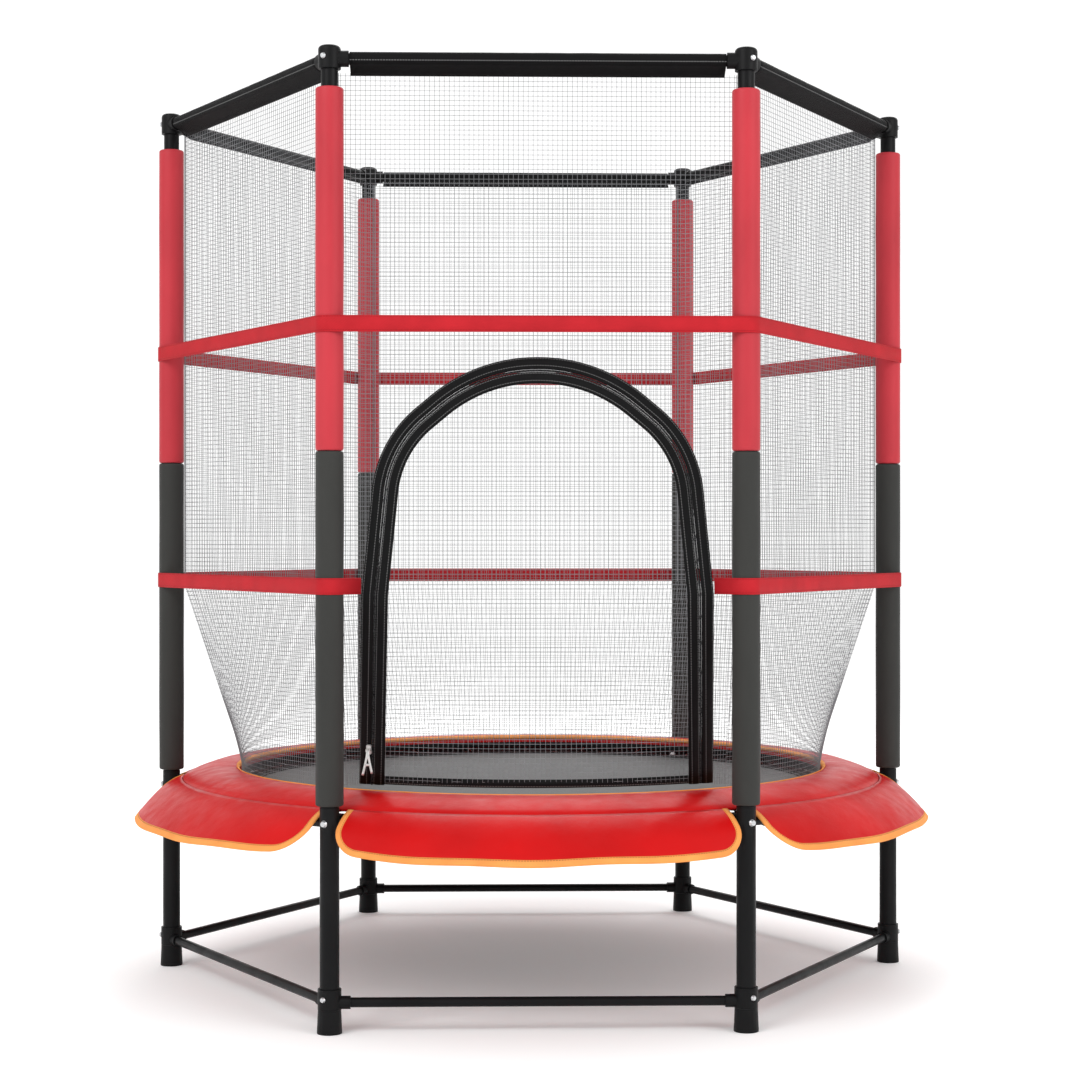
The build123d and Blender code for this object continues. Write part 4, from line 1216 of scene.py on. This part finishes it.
class TRAMPOLINE_OT_door(bpy.types.Operator):
    """Arched door: fixed surround, zip, moving border, net and foot hem"""

    bl_idname = "trampoline.door"
    bl_label = "Door"

    def execute(self, context):
        sizes, colours = settings()
        thread, seams = (0.10, 0.10, 0.10), [0.0028, 0.0165]
        cloth = webbing("door_cloth", colours.door, seams, thread, rib=0.001, roughness=0.42)
        teeth_black = moulded("zip_teeth", (0.012, 0.012, 0.013), 0.3)
        for name, insets, thickness, body, node in (
            ("door_surround_cloth", surround_insets, 0.0044, "frame", "door_surround"),
            ("door_border_cloth", door_border_insets, 0.0044, "door", "door_border"),
            ("zip_tape", zip_tape_insets, 0.0012, "frame", "zip_coil"),
        ):
            finish_piece(arch_strip(name, *insets, thickness), name, body, cloth, [node])
        points, faces = [], []
        run = arch_run(zip_teeth_inset)
        cube = ((0, 1, 3, 2), (4, 6, 7, 5), (0, 4, 5, 1), (2, 3, 7, 6), (0, 2, 6, 4), (1, 5, 7, 3))
        travelled, due = 0.0, 0.0
        count = 0
        for (a, normal), (b, _) in zip(run, run[1:]):
            length = (b - a).length
            forward = (b - a).normalized()
            side = forward.cross(normal).normalized()
            while due <= travelled + length:
                centre = a + forward * (due - travelled) + side * (0.0004 if count % 2 else -0.0004)
                start = len(points)
                for u, v, w in product((-1, 1), repeat=3):
                    shrink = 0.8 if w > 0 else 1.0
                    reach = forward * (0.0010 * u * shrink) + side * (0.0011 * v * shrink)
                    points.append(centre + reach + normal * (0.0019 * w))
                faces += [tuple(start + f for f in face) for face in cube]
                due += 0.0034
                count += 1
            travelled += length
        teeth = face_outwards(new_mesh("zip_teeth", points, faces))
        finish_piece(teeth, "zip_teeth", "frame", teeth_black, smooth=False)

        up = Vector((0, 0, 1))
        swing = next(j for j in frame["joints"] if j["name"] == "pull_swing")
        pin, across = Vector(swing["pos_m"]), Vector(swing["axis"]).normalized()
        face = across.cross(up).normalized()
        face = face if face.y < 0 else -face
        legs = []
        for path in (
            [(0.0, 0.002), (0.0015, -0.010), (0.0045, -0.024), (0.0078, -0.037), (0.0088, -0.041)],
            [(0.0, 0.002), (-0.0015, -0.010), (-0.0040, -0.023), (-0.0066, -0.034), (-0.0072, -0.038)],
            [(-0.0044, -0.024), (0.0, -0.0235), (0.0044, -0.024)],
        ):
            line = [pin + across * x + up * z + face * 0.0016 for x, z in path]
            normals = [face] * len(line)
            legs.append(strap("zip_pull_leg", line, normals, 0.0042, 0.0022, False, upright=None))
        deselect()
        for leg in legs:
            leg.select_set(True)
        bpy.context.view_layer.objects.active = legs[0]
        bpy.ops.object.join()
        white = plated("white_pull", colours.white_metal, 0.4)
        finish_piece(legs[0], "zip_pull_tab", "zip_pull", white, ["zip_pull"])

        material = bpy.data.materials["net_yarn"]
        inset = door_net_inset
        half, turn = arch_width(inset), arch_foot_turn(inset)
        count = round(2 * half / sizes.net_pitch)
        out = Vector((0, -1, 0))
        lines = []
        for k in range(count):
            share = -1 + (k + 0.5) * 2 / count + jitter(k, 0.0015)
            x = share * half
            foot = compass(FRONT + share * turn, net_foot_radius, door_foot + 0.002)
            bend = Vector((x, -net_wall, net_bend))
            head = Vector((x, -net_wall, max(arch_height(x, inset), net_bend + 0.002)))
            line = [foot.lerp(bend, j / 5) for j in range(5)]
            line += [bend.lerp(head, j / 4) for j in range(5)]
            lines.append((line, out))
        levels = round((arch_crown[1] - inset - net_bend) / sizes.net_pitch)
        for k in range(1, levels):
            z = net_bend + k * sizes.net_pitch + jitter(k + 7, 0.0005)
            across = arch_half_width(z, inset)
            if across > 0.004:
                lines.append(([Vector((across * t, -net_wall, z)) for t in (-1, -0.33, 0.33, 1)], out))
        drops = round((net_bend - door_foot) / sizes.net_pitch)
        for k in range(1, drops + 1):
            down = k / drops
            line = []
            for j in range(13):
                share = -1 + 2 * j / 12
                bend = Vector((share * half, -net_wall, net_bend))
                foot = compass(FRONT + share * turn, net_foot_radius, door_foot + 0.002)
                line.append(bend.lerp(foot, down))
            lines.append((line, out))
        net = yarn_lines("door_net", lines, sizes.yarn_width, sizes.yarn_depth)
        finish_piece(net, "door_net", "door", material, ["door_mesh"], smooth=False)
        turns = [FRONT + turn * (-1 + 2 * k / 40) for k in range(41)]
        hem = strap(
            "door_foot_hem",
            [compass(t, net_foot_radius, door_foot + 0.008) for t in turns],
            [outward(t) for t in turns],
            0.014,
            0.0018,
            False,
        )
        finish_piece(hem, "door_foot_hem", "door", cloth)
        return {"FINISHED"}


class TRAMPOLINE_OT_studio(bpy.types.Operator):
    """Pale floor and backdrop, soft lights and the camera"""

    bl_idname = "trampoline.studio"
    bl_label = "Studio"

    def execute(self, context):
        scene = context.scene
        ground = -0.0004
        profile = [(-14, ground), (4, ground), (7, ground)]
        profile += [(7 + 4 * sin(a), 4 - 4 * cos(a)) for a in [pi / 2 * k / 10 for k in range(1, 11)]]
        profile += [(11, 14)]
        rows = [[Vector((x, y, z)) for y, z in profile] for x in (-18, 18)]
        backdrop = skin("studio_backdrop", rows, closed_row=False)
        material, _, principled = blank_material("studio_white", (0.97, 0.97, 0.97), 0.95)
        principled.inputs["Emission Color"].default_value = (1, 1, 1, 1)
        principled.inputs["Emission Strength"].default_value = 0.10
        backdrop.data.materials.append(material)
        backdrop.data.shade_smooth()
        backdrop.data.flip_normals()
        for name, place, size, power in (
            ("studio_key", (-3.2, -4.2, 4.2), 3.0, 150),
            ("studio_fill", (3.8, -3.6, 3.0), 3.0, 90),
            ("studio_back", (0.5, 3.8, 4.6), 3.5, 130),
        ):
            light = bpy.data.lights.new(name, "AREA")
            light.size, light.energy = size, power
            lamp = bpy.data.objects.new(name, light)
            lamp.location = place
            lamp.rotation_euler = (Vector((0, 0, 0.8)) - Vector(place)).to_track_quat("-Z", "Y").to_euler()
            scene.collection.objects.link(lamp)
        world = bpy.data.worlds.new("studio_world")
        world.use_nodes = True
        world.node_tree.nodes["Background"].inputs[0].default_value = (1, 1, 1, 1)
        world.node_tree.nodes["Background"].inputs[1].default_value = 0.85
        scene.world = world
        scene.view_settings.view_transform = "Standard"
        camera = bpy.data.cameras.new("camera")
        camera.lens, camera.sensor_width = 73.6, 36
        viewer = bpy.data.objects.new("camera", camera)
        viewer.location = (-0.083, -4.172, 0.799)
        viewer.rotation_euler = (pi / 2, 0, -atan2(0.0239, 0.9997))
        scene.collection.objects.link(viewer)
        scene.camera = viewer
        return {"FINISHED"}


OPERATORS = (
    TRAMPOLINE_OT_frame_finish,
    TRAMPOLINE_OT_foam_sleeves,
    TRAMPOLINE_OT_edge_pad,
    TRAMPOLINE_OT_skirt_flaps,
    TRAMPOLINE_OT_bounce_mat,
    TRAMPOLINE_OT_elastic_loops,
    TRAMPOLINE_OT_safety_net,
    TRAMPOLINE_OT_hem_sleeves,
    TRAMPOLINE_OT_net_ties,
    TRAMPOLINE_OT_webbing_bands,
    TRAMPOLINE_OT_door,
    TRAMPOLINE_OT_studio,
)


class TRAMPOLINE_PT_pieces(bpy.types.Panel):
    """Lists the trampoline's pieces"""

    bl_label = "Trampoline"
    bl_idname = "TRAMPOLINE_PT_pieces"
    bl_space_type = "VIEW_3D"
    bl_region_type = "UI"
    bl_category = "Trampoline"

    def draw(self, context):
        for operator in OPERATORS:
            self.layout.operator(operator.bl_idname)
        for group in (context.scene.trampoline_sizes, context.scene.trampoline_colours):
            box = self.layout.box()
            for name in group.__annotations__:
                box.prop(group, name)


CLASSES = (TrampolineSizes, TrampolineColours, *OPERATORS, TRAMPOLINE_PT_pieces)


def register():
    for item in CLASSES:
        bpy.utils.register_class(item)
    bpy.types.Scene.trampoline_sizes = bpy.props.PointerProperty(type=TrampolineSizes)
    bpy.types.Scene.trampoline_colours = bpy.props.PointerProperty(type=TrampolineColours)


def unregister():
    del bpy.types.Scene.trampoline_colours
    del bpy.types.Scene.trampoline_sizes
    for item in reversed(CLASSES):
        bpy.utils.unregister_class(item)


def main():
    register()
    bpy.ops.trampoline.frame_finish()
    bpy.ops.trampoline.foam_sleeves()
    bpy.ops.trampoline.edge_pad()
    bpy.ops.trampoline.skirt_flaps()
    bpy.ops.trampoline.bounce_mat()
    bpy.ops.trampoline.elastic_loops()
    bpy.ops.trampoline.safety_net()
    bpy.ops.trampoline.hem_sleeves()
    bpy.ops.trampoline.net_ties()
    bpy.ops.trampoline.webbing_bands()
    bpy.ops.trampoline.door()
    bpy.ops.trampoline.studio()


if __name__ == "__main__":
    main()
